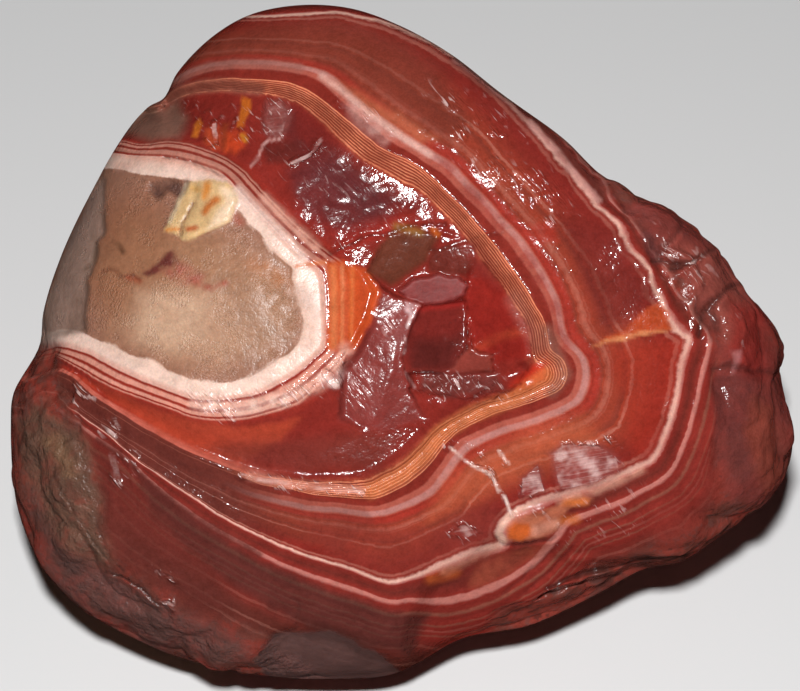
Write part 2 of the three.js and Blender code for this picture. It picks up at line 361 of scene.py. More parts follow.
# second outer white line
SECOND_LINE: Trace = (
    (110, 26), (200, 4), (250, 1), (320, -2), (366, 4), (408, 20), (448, 42), (480, 64), (508, 88),
    (538, 117), (566, 142), (586, 166), (604, 186), (616, 203), (629, 211), (638, 221), (644, 232),
    (652, 245), (660, 257), (668, 265), (676, 272), (681, 288), (695, 303), (702, 316), (707, 328),
    (711, 338), (709, 353), (704, 371), (697, 401), (688, 431), (679, 457), (668, 476), (642, 491),
    (622, 501), (602, 509), (585, 516), (570, 522), (563, 532), (556, 541), (535, 566), (513, 579),
    (492, 591), (472, 599), (445, 604), (410, 600), (390, 602), (350, 589), (300, 572), (260, 554),
    (220, 531), (190, 514), (155, 488), (124, 458), (98, 440), (70, 418), (34, 396), (0, 412), (-190, 260),
    (0, 40),
)


@dataclass(frozen=True)
class BandField:
    """The agate's growth bands: a value that rises from the quartz window to the rind.

    Each line of the photograph is one whole number, and values between lines are shared out by distance.
    The lines leave the stone at its left side, where each is closed outside the stone.
    """

    beyond: float = 42.0
    window_depth: float = 60.0
    lines: tuple[Trace, ...] = (
        WHITE_INNER, WHITE_OUTER, THIN_OUTER, STRIPES_INNER, STRIPES_OUTER, LILAC_INNER, LILAC_OUTER,
        FIRST_LINE, SECOND_LINE,
    )
    stops: tuple[float, ...] = (0.0, 0.14, 0.3, 0.72, 0.88, 1.0)
    right_shares: tuple[float, ...] = (0.0, 0.3, 0.4, 0.8, 0.87, 1.0)
    foot_shares: tuple[float, ...] = (0.0, 0.26, 0.34, 0.8, 0.87, 1.0)
    broad_from: int = 7
    right_from: Span = (330.0, 480.0)
    foot_from: Span = (440.0, 475.0)

    def value(self, seen: Array) -> Array:
        """Band value at seen places.

        Args:
            seen: pixels at which the places are seen.

        Returns:
            The band value of each place, below 0 in the window.
        """
        signed = np.stack([inside_distance(seen, rounded(line)) for line in self.lines])
        band = -signed[0] / self.window_depth
        for inner, (near, far) in enumerate(zip(signed, signed[1:])):
            between = near < 0
            share = np.abs(near) / (np.abs(near) + np.abs(far) + 1e-6)
            band = np.where(between, inner + share, band)
        last = len(self.lines) - 1
        band = np.where(signed[-1] < 0, last - signed[-1] / self.beyond, band)
        right = rise(*self.right_from, seen[:, 0])
        foot = rise(*self.foot_from, seen[:, 1])
        past = band - self.broad_from
        broader = self.broad_from + np.interp(past, self.right_shares, self.stops) * (1 - foot)
        broader += np.interp(past, self.foot_shares, self.stops) * foot
        return np.where(np.floor(band) == self.broad_from, band * (1 - right) + broader * right, band)


BANDS = BandField()


@dataclass(frozen=True)
class Swell:
    """Uneven lumps of one height and wavelength, in millimetres."""

    height: float
    wavelength: float

    def at(self, points: Array) -> Array:
        """Height of the lumps at places in space."""
        return self.height * lattice_noise(points, self.wavelength)


@dataclass(frozen=True)
class Body:
    """The plain body of the stone without relief, the same as in the part's source."""

    front_rise: float = 16.0
    back_rise: float = 23.0
    back_squareness: float = 2.4
    front_squareness: float = 2.3
    shoulder_squareness: float = 3.0
    shoulder_angle: float = math.radians(45)
    samples: int = 12
    break_wear: float = 2.0
    seen_share: float = 0.995
    rim: Trace = (
        (-29.9, -6.1), (-29.7, -3.7), (-27.7, 0.0), (-27.4, 2.6), (-26.2, 6.4), (-24.2, 10.8),
        (-20.8, 16.7), (-19.3, 18.3), (-18.1, 19.0), (-17.1, 20.9), (-14.6, 23.5), (-11.5, 25.3),
        (-7.7, 26.0), (-3.8, 25.7), (0.0, 24.3), (3.8, 22.1), (7.7, 19.0), (12.3, 15.6), (15.4, 12.7),
        (16.3, 12.5), (18.5, 11.3), (20.6, 10.4), (23.2, 8.0), (25.5, 4.7), (27.5, 2.5), (28.8, 0.0),
        (29.2, -3.0), (30.2, -7.0), (29.7, -9.9), (28.3, -12.1), (25.8, -13.6), (22.2, -16.3),
        (18.5, -17.3), (15.4, -19.0), (10.0, -21.5), (4.8, -22.5), (1.5, -24.3), (-0.8, -25.3),
        (-4.6, -25.6), (-9.0, -25.5), (-12.3, -25.0), (-16.9, -24.0), (-20.8, -22.3), (-23.8, -20.6),
        (-26.9, -17.6), (-28.5, -15.0), (-29.5, -11.9),
    )
    breaks: tuple[tuple[Spot, float], ...] = (
        ((0.5, 0.55, -0.67), 21.6),
        ((-0.62, 0.42, -0.66), 23.6),
        ((0.72, -0.42, -0.55), 25.8),
        ((-0.2, 0.1, -0.97), 23.2),
    )

    def rim_curve(self) -> tuple[Array, Array]:
        """Angles and radii of a smooth closed curve through the rim's points.

        Returns:
            Angles in rising order, and the radius at each.
        """
        p = np.array(self.rim)
        before, after, second = np.roll(p, 1, 0), np.roll(p, -1, 0), np.roll(p, -2, 0)

        def gap(a: Array, b: Array) -> Array:
            """Root of the distance between points, for even turns."""
            return np.sqrt(np.linalg.norm(b - a, axis=1))[:, None]

        g0, g1, g2 = gap(before, p), gap(p, after), gap(after, second)
        leave = ((p - before) / g0 - (after - before) / (g0 + g1) + (after - p) / g1) * g1
        arrive = ((after - p) / g1 - (second - p) / (g1 + g2) + (second - after) / g2) * g1
        curve = []
        for t in np.arange(self.samples) / self.samples:
            curve.append(
                p * (2 * t**3 - 3 * t**2 + 1) + after * (3 * t**2 - 2 * t**3)
                + leave * (t**3 - 2 * t**2 + t) + arrive * (t**3 - t**2)
            )
        points = np.concatenate(curve)
        angle = np.arctan2(points[:, 1], points[:, 0])
        order = np.argsort(angle)
        return angle[order], np.linalg.norm(points, axis=1)[order]

    def points(self, directions: Array) -> Array:
        """Points of the body at directions from its middle.

        Args:
            directions: unit directions in the face frame.

        Returns:
            Places in the face frame.
        """
        out = directions[:, 2]
        across = np.sqrt(np.clip(1 - out**2, 0, None))
        angle = np.arctan2(directions[:, 1], directions[:, 0])
        k = np.where(out > 0, self.squareness(angle), self.back_squareness)
        reach = (across**k + np.abs(out) ** k) ** (-1 / k)
        angles, radii = self.rim_curve()
        radius = np.interp(angle, angles, radii, period=2 * math.pi) * across * reach
        depth = np.where(out > 0, self.front_rise, self.back_rise) * out * reach
        return np.stack([radius * np.cos(angle), radius * np.sin(angle), depth], axis=1)

    def squareness(self, angle: Array) -> Array:
        """Squareness of the front at angles round the face, largest at the upper right shoulder."""
        shoulder = np.clip(np.cos(angle - self.shoulder_angle), 0, None) ** 2
        return self.front_squareness + self.shoulder_squareness * shoulder

    def wall(self, points: Array) -> Array:
        """How far places lie behind the edge that is seen from the front.

        Args:
            points: places in the face frame.

        Returns:
            Millimetres behind that edge, 0 in front of it.
        """
        k = self.squareness(np.arctan2(points[:, 1], points[:, 0]))
        edge = self.front_rise * (1 - self.seen_share**k) ** (1 / k)
        return np.clip(edge - points[:, 2], 0, None)

    def broken(self, points: Array) -> Array:
        """Points with the worn facets of the back broken off.

        Args:
            points: places in the face frame.

        Returns:
            The moved places.
        """
        for faces, distance in self.breaks:
            normal = np.array(faces) / np.linalg.norm(faces)
            beyond = points @ normal - distance
            worn = np.clip(beyond + self.break_wear, 0, None) ** 2 / (4 * self.break_wear)
            points = points - np.where(beyond > self.break_wear, beyond, worn)[:, None] * normal
        return points


@dataclass(frozen=True)
class Rind:
    """The unworn skin: lumps, knobs and pits on the back and outside the worn face."""

    swell: Swell = Swell(1.0, 19.0)
    lump: Swell = Swell(0.6, 6.5)
    knob: Swell = Swell(0.4, 3.4)
    grain: tuple[Swell, ...] = (Swell(0.2, 1.5), Swell(0.1, 0.8))
    crevice: Swell = Swell(0.9, 5.2)
    pits: int = 46
    pit_radius: float = 1.8
    pit_depth: float = 0.9
    pit_shift: float = 0.35
    crevice_width: float = 0.12
    crevice_depth: float = 0.45
    worn_edge: Swell = Swell(0.5, 2.5)
    worn_soft: float = 0.8
    rim_edge: Swell = Swell(0.2, 7.0)
    rim_soft: float = 0.1
    worn_face: Trace = (
        (-27.4, 0.6), (-26.4, -0.5), (-26.2, -3.0), (-24.6, -5.7), (-23.5, -9.6), (-22.8, -12.7),
        (-22.2, -16.1), (-19.2, -17.9), (-16.5, -19.4), (-15.4, -20.7), (-10.6, -22.0), (-5.4, -26.5),
        (2.3, -27.3), (7.7, -21.1), (12.3, -18.8), (16.9, -16.3), (22.3, -13.4), (24.2, -10.3),
        (24.8, -6.5), (24.5, -2.7), (24.0, 0.0), (22.3, 3.1), (20.4, 6.2), (18.5, 9.3), (15.8, 12.3),
        (16.9, 17.3), (12.3, 22.0), (1.5, 26.6), (-7.7, 28.9), (-16.9, 26.6), (-21.5, 19.7), (-26.2, 12.7),
        (-28.5, 3.5),
    )

    def pit_middles(self, body: Body) -> Array:
        """Middles of the pits, spread over the back along a golden spiral.

        Args:
            body: the plain body that the pits lie on.

        Returns:
            Places in the face frame.
        """
        i = np.arange(self.pits)
        out = -(i + 0.5) / self.pits
        across = np.sqrt(1 - out**2)
        turn = i * math.pi * (3 - math.sqrt(5))
        lift = np.arcsin(out) + self.pit_shift * across
        around = np.cos(lift)
        return body.points(np.stack([around * np.cos(turn), around * np.sin(turn), np.sin(lift)], axis=1))

    def worn(self, face: Array, points: Array, out: Array) -> Array:
        """How far the skin is worn off.

        Args:
            face: places in the plane of the face, in millimetres.
            points: the same places in the face frame.
            out: how far their directions point to the viewer.

        Returns:
            1 on the worn face, 0 on the skin, with a soft change.
        """
        edge = inside_distance(face, self.worn_face) + self.worn_edge.at(points)
        front = out + self.rim_edge.at(points)
        return rise(-self.worn_soft, self.worn_soft, edge) * rise(-self.rim_soft, self.rim_soft, front)

    def height(self, points: Array, skin: Array, back: Array, body: Body) -> Array:
        """How far the lumps of the skin stand out.

        Args:
            points: places in the face frame.
            skin: how far each is covered by skin.
            back: how far each lies on the back.
            body: the plain body that the pits lie on.

        Returns:
            Height in millimetres.
        """
        crevice = np.exp(-np.abs(self.crevice.at(points)) / self.crevice_width)
        grain = sum(swell.at(points) for swell in self.grain)
        lumps = self.lump.at(points) + self.knob.at(points) + grain - self.crevice_depth * crevice
        height = back * self.swell.at(points) + skin * lumps
        for pit in self.pit_middles(body):
            reach = np.sum((points - pit) ** 2, axis=1) / self.pit_radius**2
            height -= back * self.pit_depth * np.exp(-reach)
        return height


@dataclass(frozen=True)
class Wander:
    """Uneven drift of lines and edges, as growth and wear leave them, in pixels of the photograph."""

    drifts: Trace = ((70, 2.5), (24, 1.3), (9, 0.6))
    level_gap: float = 31.0

    def moved(self, seen: Array) -> Array:
        """Places with the drift added.

        Args:
            seen: pixels at which the places are seen.

        Returns:
            The drifted pixels.
        """
        moved = seen.copy()
        for wavelength, reach in self.drifts:
            for axis in (0, 1):
                level = (axis + 0.5) * self.level_gap * wavelength
                moved[:, axis] += reach * lattice_noise(at_level(seen, level), wavelength)
        return moved


@dataclass(frozen=True)
class Mark:
    """A place of the face, by its outline or by its middle line and half width, in pixels."""

    trace: Trace
    strength: float = 0.8
    soft: float = 3.0
    width: float = 0.0

    def cover(self, seen: Array) -> Array:
        """How far the mark covers places.

        Args:
            seen: pixels at which the places are seen.

        Returns:
            From 0 outside it to its strength inside it.
        """
        if self.width:
            inside = self.width - line_distance(seen, self.trace)
        else:
            inside = inside_distance(seen, self.trace)
        return self.strength * rise(-self.soft, self.soft, inside)


@dataclass(frozen=True)
class Stain(Mark):
    """A mark with an sRGB colour and a roughness of its own."""

    colour: Shade = (188, 188, 188)
    rough: float = 0.25
    ragged: float = 0.0
    eaten_size: ClassVar[float] = 6.5
    eaten_level: ClassVar[float] = 3.5
    eaten_edge: ClassVar[Span] = (-0.1, 0.3)

    def cover(self, seen: Array) -> Array:
        """How far the stain covers places, eaten away where it is ragged."""
        cover = super().cover(seen)
        eaten = lattice_noise(at_level(seen, self.eaten_level), self.eaten_size)
        return cover * (1 - self.ragged * rise(*self.eaten_edge, eaten))


def patch(outline: Trace, strength: float, soft: float, colour: Shade, rough: float, ragged: float = 0.0
          ) -> Stain:
    """A stain inside an outline.

    Args:
        outline: its corners in order.
        strength: how far it covers what lies below.
        soft: half width of its edge.
        colour: its sRGB colour.
        rough: its roughness.
        ragged: how far it is eaten away.

    Returns:
        The stain.
    """
    return Stain(outline, strength, soft, 0.0, colour, rough, ragged)


# outlines that more than one table reads: notch of the window, painted with shade, shelf, chip and floor of
# the cavity, and patches of the terrace painted with sheen
NOTCH: Trace = ((150, 181), (184, 180), (186, 186), (178, 197), (166, 191), (155, 199), (148, 190))
SHELF: Trace = ((397, 288), (412, 279), (440, 274), (462, 276), (471, 284), (468, 294),
                (450, 302), (428, 305), (406, 299))
FLOOR_CHIP: Trace = ((450, 371), (469, 347), (495, 356), (494, 372))
ROUGH_FLOOR: Trace = ((424, 372), (506, 374), (506, 400), (420, 400))
MIDDLE_SHEEN_PATCH: Trace = ((519, 476), (538, 462), (541, 480), (544, 490), (521, 498))
LOW_SHEEN_PATCH: Trace = ((448, 531), (466, 523), (485, 533), (464, 542))

# quartz window
WINDOW_STAINS = (
    patch(((98, 260), (130, 222), (215, 232), (280, 265), (295, 310), (270, 355), (190, 368), (110, 330)),
        0.8, 26, (162, 116, 86), 0.36),
    patch(((100, 200), (150, 196), (172, 240), (150, 300), (110, 320), (92, 290)), 0.5, 24, (148, 94, 66),
        0.3),
    # paler grey-beige middle of the window, partly painted sheen
    patch(((140, 292), (220, 288), (258, 330), (220, 362), (160, 350), (125, 325)), 0.6, 20,
        (182, 142, 116), 0.34),
    patch(((230, 280), (285, 290), (292, 330), (262, 352), (225, 330)), 0.6, 16, (154, 112, 86), 0.36),
    Stain(((302, 290), (314, 318), (308, 344)), 0.8, 8, 8, (194, 154, 136), 0.5),
    patch(((30, 345), (46, 296), (60, 258), (78, 220), (98, 180), (106, 178), (104, 212), (104, 232),
        (97, 240), (97, 252), (93, 265), (88, 280), (86, 305), (84, 332), (66, 336)), 0.75, 4,
        (148, 122, 110), 0.35),
    patch(((72, 300), (87, 282), (84, 332), (66, 334)), 0.5, 5, (110, 82, 68), 0.4, 0.3),
    Stain(((70, 240), (92, 200)), 0.4, 8, 6, (112, 90, 84), 0.35, 0.5),
    Stain(((92, 236), (97, 246), (92, 262), (84, 270)), 0.6, 2.5, 1.5, (82, 62, 42), 0.4, 0.4),
    Stain(((255, 262), (285, 280)), 0.6, 9, 6, (176, 106, 60), 0.4, 0.5),
    # painted sheen low in the window's middle
    patch(((140, 296), (176, 290), (204, 300), (202, 336), (176, 352), (136, 340)), 0.5, 14,
        (208, 172, 144), 0.32, 0.3),
    Stain(((232, 214), (240, 222)), 0.6, 4, 4, (170, 84, 68), 0.4),
    # painted shade in the notch under the white band
    patch(NOTCH, 0.75, 4, (66, 40, 38), 0.35, 0.3),
    patch(((143, 272), (150, 267), (158, 259), (166, 252), (173, 250), (179, 258), (180, 264), (170, 268),
        (156, 272), (148, 277)), 0.9, 2.5, (92, 30, 30), 0.35, 0.4),
    patch(((160, 270), (182, 264), (204, 276), (198, 284), (176, 280)), 0.7, 7, (156, 70, 62), 0.35, 0.5),
    Stain(((103, 272), (110, 269), (117, 271), (121, 276), (128, 276), (133, 274), (140, 279)), 0.8, 1.8,
        1.3, (92, 40, 24), 0.4, 0.3),
    Stain(((128, 277), (140, 281)), 0.6, 3, 2.5, (150, 60, 34), 0.4, 0.4),
    Stain(((196, 284), (212, 288), (226, 283)), 0.8, 3, 2.5, (150, 54, 36), 0.4, 0.5),
    Stain(((113, 241), (119, 245), (123, 251)), 0.8, 2.5, 2.5, (78, 46, 26), 0.4, 0.6),
)

# cream chip at the window's top
CHIP_STAINS = (
    patch(((165, 230), (168, 222), (174, 208), (181, 192), (188, 182), (200, 179), (215, 180), (228, 183),
        (235, 190), (237, 200), (235, 211), (228, 222), (218, 229), (205, 233), (196, 240), (183, 240),
        (180, 234), (170, 232)), 0.97, 1.3, (206, 168, 118), 0.34),
    patch(((222, 186), (234, 190), (237, 202), (232, 216), (220, 226), (206, 230), (214, 218), (224, 204)),
        0.85, 4, (226, 196, 166), 0.34),
    Stain(((186, 184), (178, 204), (170, 222)), 0.5, 2, 2, (240, 218, 186), 0.3),
    Stain(((192, 188), (200, 190)), 0.6, 3, 2, (214, 150, 60), 0.3, 0.4),
    Stain(((208, 184), (206, 197)), 0.85, 3, 3.5, (206, 122, 36), 0.3, 0.3),
    Stain(((217, 200), (210, 205), (205, 212)), 0.9, 3, 3.5, (178, 88, 18), 0.3, 0.3),
    Stain(((189, 229), (196, 228)), 0.9, 2.5, 2.5, (172, 72, 24), 0.3),
    Stain(((168, 230), (180, 229)), 0.85, 2, 1.6, (196, 112, 30), 0.3),
    Stain(((193, 203), (189, 212), (184, 222), (182, 234)), 0.85, 1.4, 1.0, (112, 44, 26), 0.4),
)

# amber step at the right of the white band, touches of that band and of the lines, and a painted highlight
# below them
AMBER_STAINS = (
    patch(((326, 263), (344, 260), (368, 272), (381, 294), (369, 322), (355, 348), (338, 353), (327, 347)),
        0.92, 3, (190, 74, 30), 0.14),
    Stain(((333, 268), (334, 345)), 0.5, 4, 3, (222, 138, 84), 0.14),
    Stain(((342, 266), (342, 344)), 0.4, 2, 1.5, (230, 160, 112), 0.14),
    Stain(((352, 268), (351, 340)), 0.45, 2.5, 1.5, (226, 132, 72), 0.14),
    Stain(((238, 190), (250, 203), (280, 232), (304, 258)), 0.6, 4, 4, (240, 212, 198), 0.3),
    Stain(((264, 198), (290, 222), (316, 246)), 0.5, 4, 5, (226, 170, 150), 0.2, 0.4),
    Stain(((118, 166), (150, 160), (185, 164), (216, 174)), 0.45, 4, 5, (206, 150, 130), 0.3, 0.3),
    # painted highlight
    Stain(((322, 378), (336, 384), (342, 372)), 0.8, 4, 4, (240, 214, 206), 0.2, 0.6),
    Stain(((560, 500), (600, 489), (640, 470)), 0.5, 4, 4, (226, 170, 146), 0.25, 0.5),
    Stain(((362, 272), (364, 318)), 0.5, 4, 3, (160, 56, 26), 0.14),
)

# dark recess above the window
RECESS_STAINS = (
    patch(((288, 100), (330, 138), (372, 176), (420, 205), (360, 215), (300, 165), (280, 130)), 0.8, 12,
        (86, 27, 27), 0.22),
    patch(((110, 128), (140, 104), (176, 96), (188, 120), (180, 138), (150, 140)), 0.8, 8, (116, 88, 74),
        0.25),
    patch(((262, 142), (300, 140), (296, 160), (266, 162)), 0.7, 5, (76, 24, 20), 0.12),
    patch(((292, 102), (320, 120), (330, 140), (312, 150), (296, 134)), 0.6, 6, (112, 26, 20), 0.12),
    patch(((268, 98), (280, 98), (290, 108), (291, 118), (287, 130), (278, 140), (266, 138), (262, 128),
        (262, 118)), 0.8, 3, (122, 62, 58), 0.2),
    patch(((206, 128), (214, 124), (222, 128), (222, 146), (212, 150), (203, 142)), 0.75, 4, (180, 70, 36),
        0.18, 0.4),
    patch(((222, 122), (228, 122), (227, 150), (221, 150)), 0.6, 3, (138, 56, 22), 0.18),
    patch(((227, 132), (236, 128), (246, 133), (244, 146), (232, 152), (222, 150)), 0.8, 3, (190, 64, 28),
        0.16, 0.4),
    patch(((241, 95), (250, 97), (250, 106), (246, 116), (243, 126), (237, 126), (238, 112)), 0.9, 2,
        (190, 98, 26), 0.18, 0.2),
    patch(((200, 118), (203, 124), (197, 137), (192, 137), (194, 126)), 0.9, 1.8, (188, 100, 28), 0.18),
    Stain(((242, 135), (245, 139)), 0.8, 2, 2.5, (190, 124, 34), 0.2),
    patch(((285, 170), (330, 158), (380, 190), (392, 215), (340, 236), (300, 215)), 0.7, 10, (88, 34, 37),
        0.22),
    Stain(((300, 214), (340, 236), (400, 222)), 0.4, 10, 6, (150, 34, 27), 0.2),
    Stain(((296, 266), (310, 264), (326, 262)), 0.8, 2, 2, (196, 106, 60), 0.2),
)

# pale ends of the thin lines, partly painted highlight where they glint, and the end of the upper
# pinstripes
LINE_STAINS = (
    # pale lower ends of the thin lines, partly painted highlight
    Stain(((296, 394), (318, 383), (336, 366), (346, 350)), 0.6, 6, 7, (222, 172, 154), 0.2, 0.5),
    Stain(((196, 404), (240, 408), (284, 400)), 0.75, 5, 6, (236, 200, 184), 0.2, 0.5),
    Stain(((160, 104), (180, 91), (200, 86), (220, 84), (240, 86), (258, 88)), 0.8, 3, 6, (138, 76, 62),
        0.2),
)

# satin wall and floor, with painted sheen near the crest and painted highlights along the crest
SATIN_STAINS = (
    patch(((384, 292), (404, 302), (421, 306), (410, 328), (403, 356), (405, 374), (412, 394), (424, 420),
        (380, 430), (338, 420), (342, 371), (356, 350), (370, 323)), 0.8, 5, (120, 46, 42), 0.22),
    # painted sheen near the crest
    patch(((388, 298), (404, 303), (419, 307), (409, 327), (400, 352), (384, 348), (378, 326)), 0.4, 6,
        (150, 84, 82), 0.22, 0.4),
    patch(((346, 372), (364, 352), (380, 372), (384, 404), (356, 412)), 0.25, 8, (142, 72, 68), 0.22, 0.5),
    # painted highlights along the crest
    Stain(((418, 306), (411, 315), (407, 326)), 0.85, 1.6, 1.2, (236, 204, 200), 0.2, 0.7),
    Stain(((405, 338), (406, 346), (404, 353)), 0.8, 1.5, 1.0, (226, 186, 182), 0.2, 0.7),
    Stain(((405, 372), (409, 379), (415, 388)), 0.7, 1.5, 0.9, (216, 170, 166), 0.2, 0.7),
    patch(((404, 303), (419, 306), (412, 319), (405, 313)), 0.75, 2, (226, 190, 190), 0.2, 0.4),
)

# broken cavity
CAVITY_STAINS = (
    patch(((388, 230), (437, 234), (428, 260), (392, 283), (364, 273)), 0.9, 4, (92, 46, 30), 0.2),
    Stain(((330, 257), (360, 244), (390, 228)), 0.7, 2, 2, (156, 40, 32), 0.2, 0.3),
    Stain(((396, 226), (420, 232)), 0.7, 4, 4, (138, 96, 40), 0.25),
    Stain(((433, 229), (437, 233)), 0.8, 3, 3, (196, 96, 30), 0.25),
    patch(((433, 247), (473, 240), (478, 262), (466, 274), (428, 272)), 0.85, 3, (98, 36, 27), 0.18),
    # dark red pit of the cavity, darkened as painted shade, most towards its core
    patch(((412, 306), (468, 300), (467, 352), (452, 371), (412, 368), (404, 350)), 0.85, 4, (108, 28, 23),
        0.16),
    patch(((412, 340), (465, 335), (456, 370), (408, 374)), 0.6, 9, (66, 22, 19), 0.16),
    Stain(((416, 309), (440, 306), (464, 303)), 0.7, 3, 3, (148, 30, 26), 0.16),
    patch(((470, 274), (498, 280), (534, 330), (534, 356), (500, 362), (474, 350), (466, 310)), 0.9, 4,
        (136, 28, 20), 0.16),
    Stain(((480, 347), (500, 337), (522, 332)), 0.45, 5, 4, (168, 66, 38), 0.16, 0.3),
    patch(((424, 372), (500, 374), (506, 388), (450, 398), (420, 390)), 0.7, 5, (96, 46, 42), 0.25),
    patch(FLOOR_CHIP, 0.8, 2, (132, 56, 46), 0.2),
    patch(((508, 386), (532, 366), (546, 364), (545, 380), (528, 390)), 0.9, 3, (186, 44, 24), 0.16),
    patch(SHELF, 0.97, 1.5, (124, 44, 42), 0.6),
)

# tan cord of the lower pinstripes, and the lilac band's ends
CORD_STAINS = (
    Stain(((546, 376), (515, 398), (470, 415), (441, 433), (424, 455), (402, 474), (372, 490)), 0.6, 4, 8,
        (200, 112, 62), 0.25),
    Stain(((548, 330), (556, 352), (566, 374), (552, 392)), 0.5, 5, 6, (128, 88, 74), 0.25),
    patch(((455, 222), (480, 248), (505, 285), (498, 290), (470, 262), (450, 235)), 0.55, 5, (140, 44, 38),
        0.2, 0.4),
    Stain(((515, 300), (540, 345)), 0.4, 6, 9, (146, 90, 80), 0.25),
    Stain(((445, 165), (490, 212), (530, 262), (556, 310), (566, 345)), 0.6, 4, 6, (146, 56, 48), 0.2, 0.9),
    Stain(((322, 76), (345, 93), (375, 117), (405, 139), (430, 154)), 0.65, 3, 3, (224, 178, 164), 0.2,
        0.25),
    # painted sheen on the glinting patch of the lilac band's upper run
    patch(((352, 104), (372, 116), (394, 134), (386, 147), (362, 132), (348, 116)), 0.35, 5,
        (226, 180, 168), 0.2, 0.5),
    Stain(((172, 84), (190, 72), (210, 66), (235, 63), (270, 64), (300, 68)), 0.75, 3, 4.5, (146, 88, 78),
        0.2, 0.2),
    Stain(((458, 60), (480, 77), (515, 108), (540, 130)), 0.75, 9, 6, (98, 40, 33), 0.16, 0.35),
)

# terrace
TERRACE_STAINS = (
    patch(((560, 215), (600, 225), (625, 240), (652, 290), (655, 300), (630, 318), (605, 330), (585, 290)),
        0.8, 10, (104, 29, 24), 0.12),
    patch(((615, 345), (680, 338), (686, 345), (676, 395), (660, 445), (640, 462), (628, 440), (622, 400),
        (612, 370)), 0.55, 10, (150, 38, 22), 0.14),
    patch(((596, 345), (630, 326), (645, 311), (660, 303), (668, 310), (673, 329), (640, 334)), 0.9, 2,
        (172, 64, 25), 0.2),
    patch(((592, 347), (620, 336), (645, 331), (672, 329), (645, 336), (618, 342)), 0.8, 2, (210, 132, 84),
        0.25, 0.3),
    patch(((480, 455), (520, 432), (580, 415), (600, 440), (540, 470), (470, 500), (430, 520), (440, 490)),
        0.55, 16, (182, 88, 56), 0.22),
    # mauve patches of the terrace; their painted sheen comes from their glint strength above 1
    patch(((548, 452), (560, 443), (600, 444), (618, 458), (619, 472), (596, 484), (575, 491), (558, 490),
        (553, 470)), 0.7, 4, (136, 66, 62), 0.14),
    patch(MIDDLE_SHEEN_PATCH, 0.7, 3, (124, 52, 50), 0.14),
    patch(LOW_SHEEN_PATCH, 0.6, 3, (128, 52, 50), 0.14),
    patch(((510, 500), (560, 488), (600, 480), (640, 462), (650, 440), (664, 420), (655, 455), (600, 486),
        (540, 502)), 0.5, 8, (118, 34, 28), 0.14),
    patch(((496, 500), (506, 512), (496, 540), (470, 548), (430, 548), (440, 520)), 0.6, 9, (112, 34, 30),
        0.16),
    patch(((330, 78), (400, 112), (440, 140), (420, 142), (370, 112)), 0.55, 6, (176, 100, 68), 0.22),
    patch(((530, 225), (555, 220), (560, 240), (535, 246)), 0.5, 5, (160, 34, 26), 0.2),
)

# painted highlights: bright lines along the fracture on the terrace and along a ridge edge at the top left
GLINT_LINE_STAINS = (
    Stain(((450, 447), (463, 459), (470, 464), (478, 469), (487, 473), (492, 477)), 0.85, 1.3, 1.1,
        (244, 212, 200), 0.2, 0.6),
    Stain(((494, 481), (499, 491)), 0.85, 1.3, 1.2, (244, 212, 200), 0.2, 0.6),
    Stain(((504, 496), (508, 505), (510, 513)), 0.85, 1.3, 1.3, (248, 222, 210), 0.2, 0.6),
    Stain(((499, 451), (503, 458), (508, 463)), 0.8, 1.3, 1.0, (240, 200, 186)),
    Stain(((250, 165), (258, 157), (260, 150), (263, 144), (268, 140), (278, 138)), 0.7, 1.3, 0.9,
        (214, 166, 158)),
)

# brown top, darkened with painted shade where it turns upwards, and dark red shoulder
SHOULDER_STAINS = (
    # painted shade: the top made darker
    patch(((176, 68), (210, 58), (260, 56), (310, 60), (350, 78), (400, 108), (450, 144), (470, 120),
        (440, 70), (400, 40), (340, 20), (260, 22), (200, 44)), 0.7, 12, (108, 45, 33), 0.13),
    patch(((470, 96), (520, 128), (560, 165), (600, 212), (640, 268), (600, 262), (560, 215), (520, 165)),
        0.5, 14, (122, 34, 28), 0.12),
    Stain(((404, 26), (432, 40), (470, 66)), 0.45, 14, 2, (100, 44, 37), 0.2, 0.4),
    Stain(((462, 60), (505, 92), (535, 119), (562, 147), (585, 172), (604, 192)), 0.9, 8, 6, (100, 44, 37),
        0.2, 0.25),
    Stain(((530, 123), (556, 151), (578, 179), (598, 200)), 0.85, 2, 3.6, (196, 140, 130), 0.2, 0.35),
    Stain(((452, 60), (480, 80), (508, 104), (530, 123)), 0.7, 1.5, 1.2, (170, 116, 108), 0.2, 0.35),
)

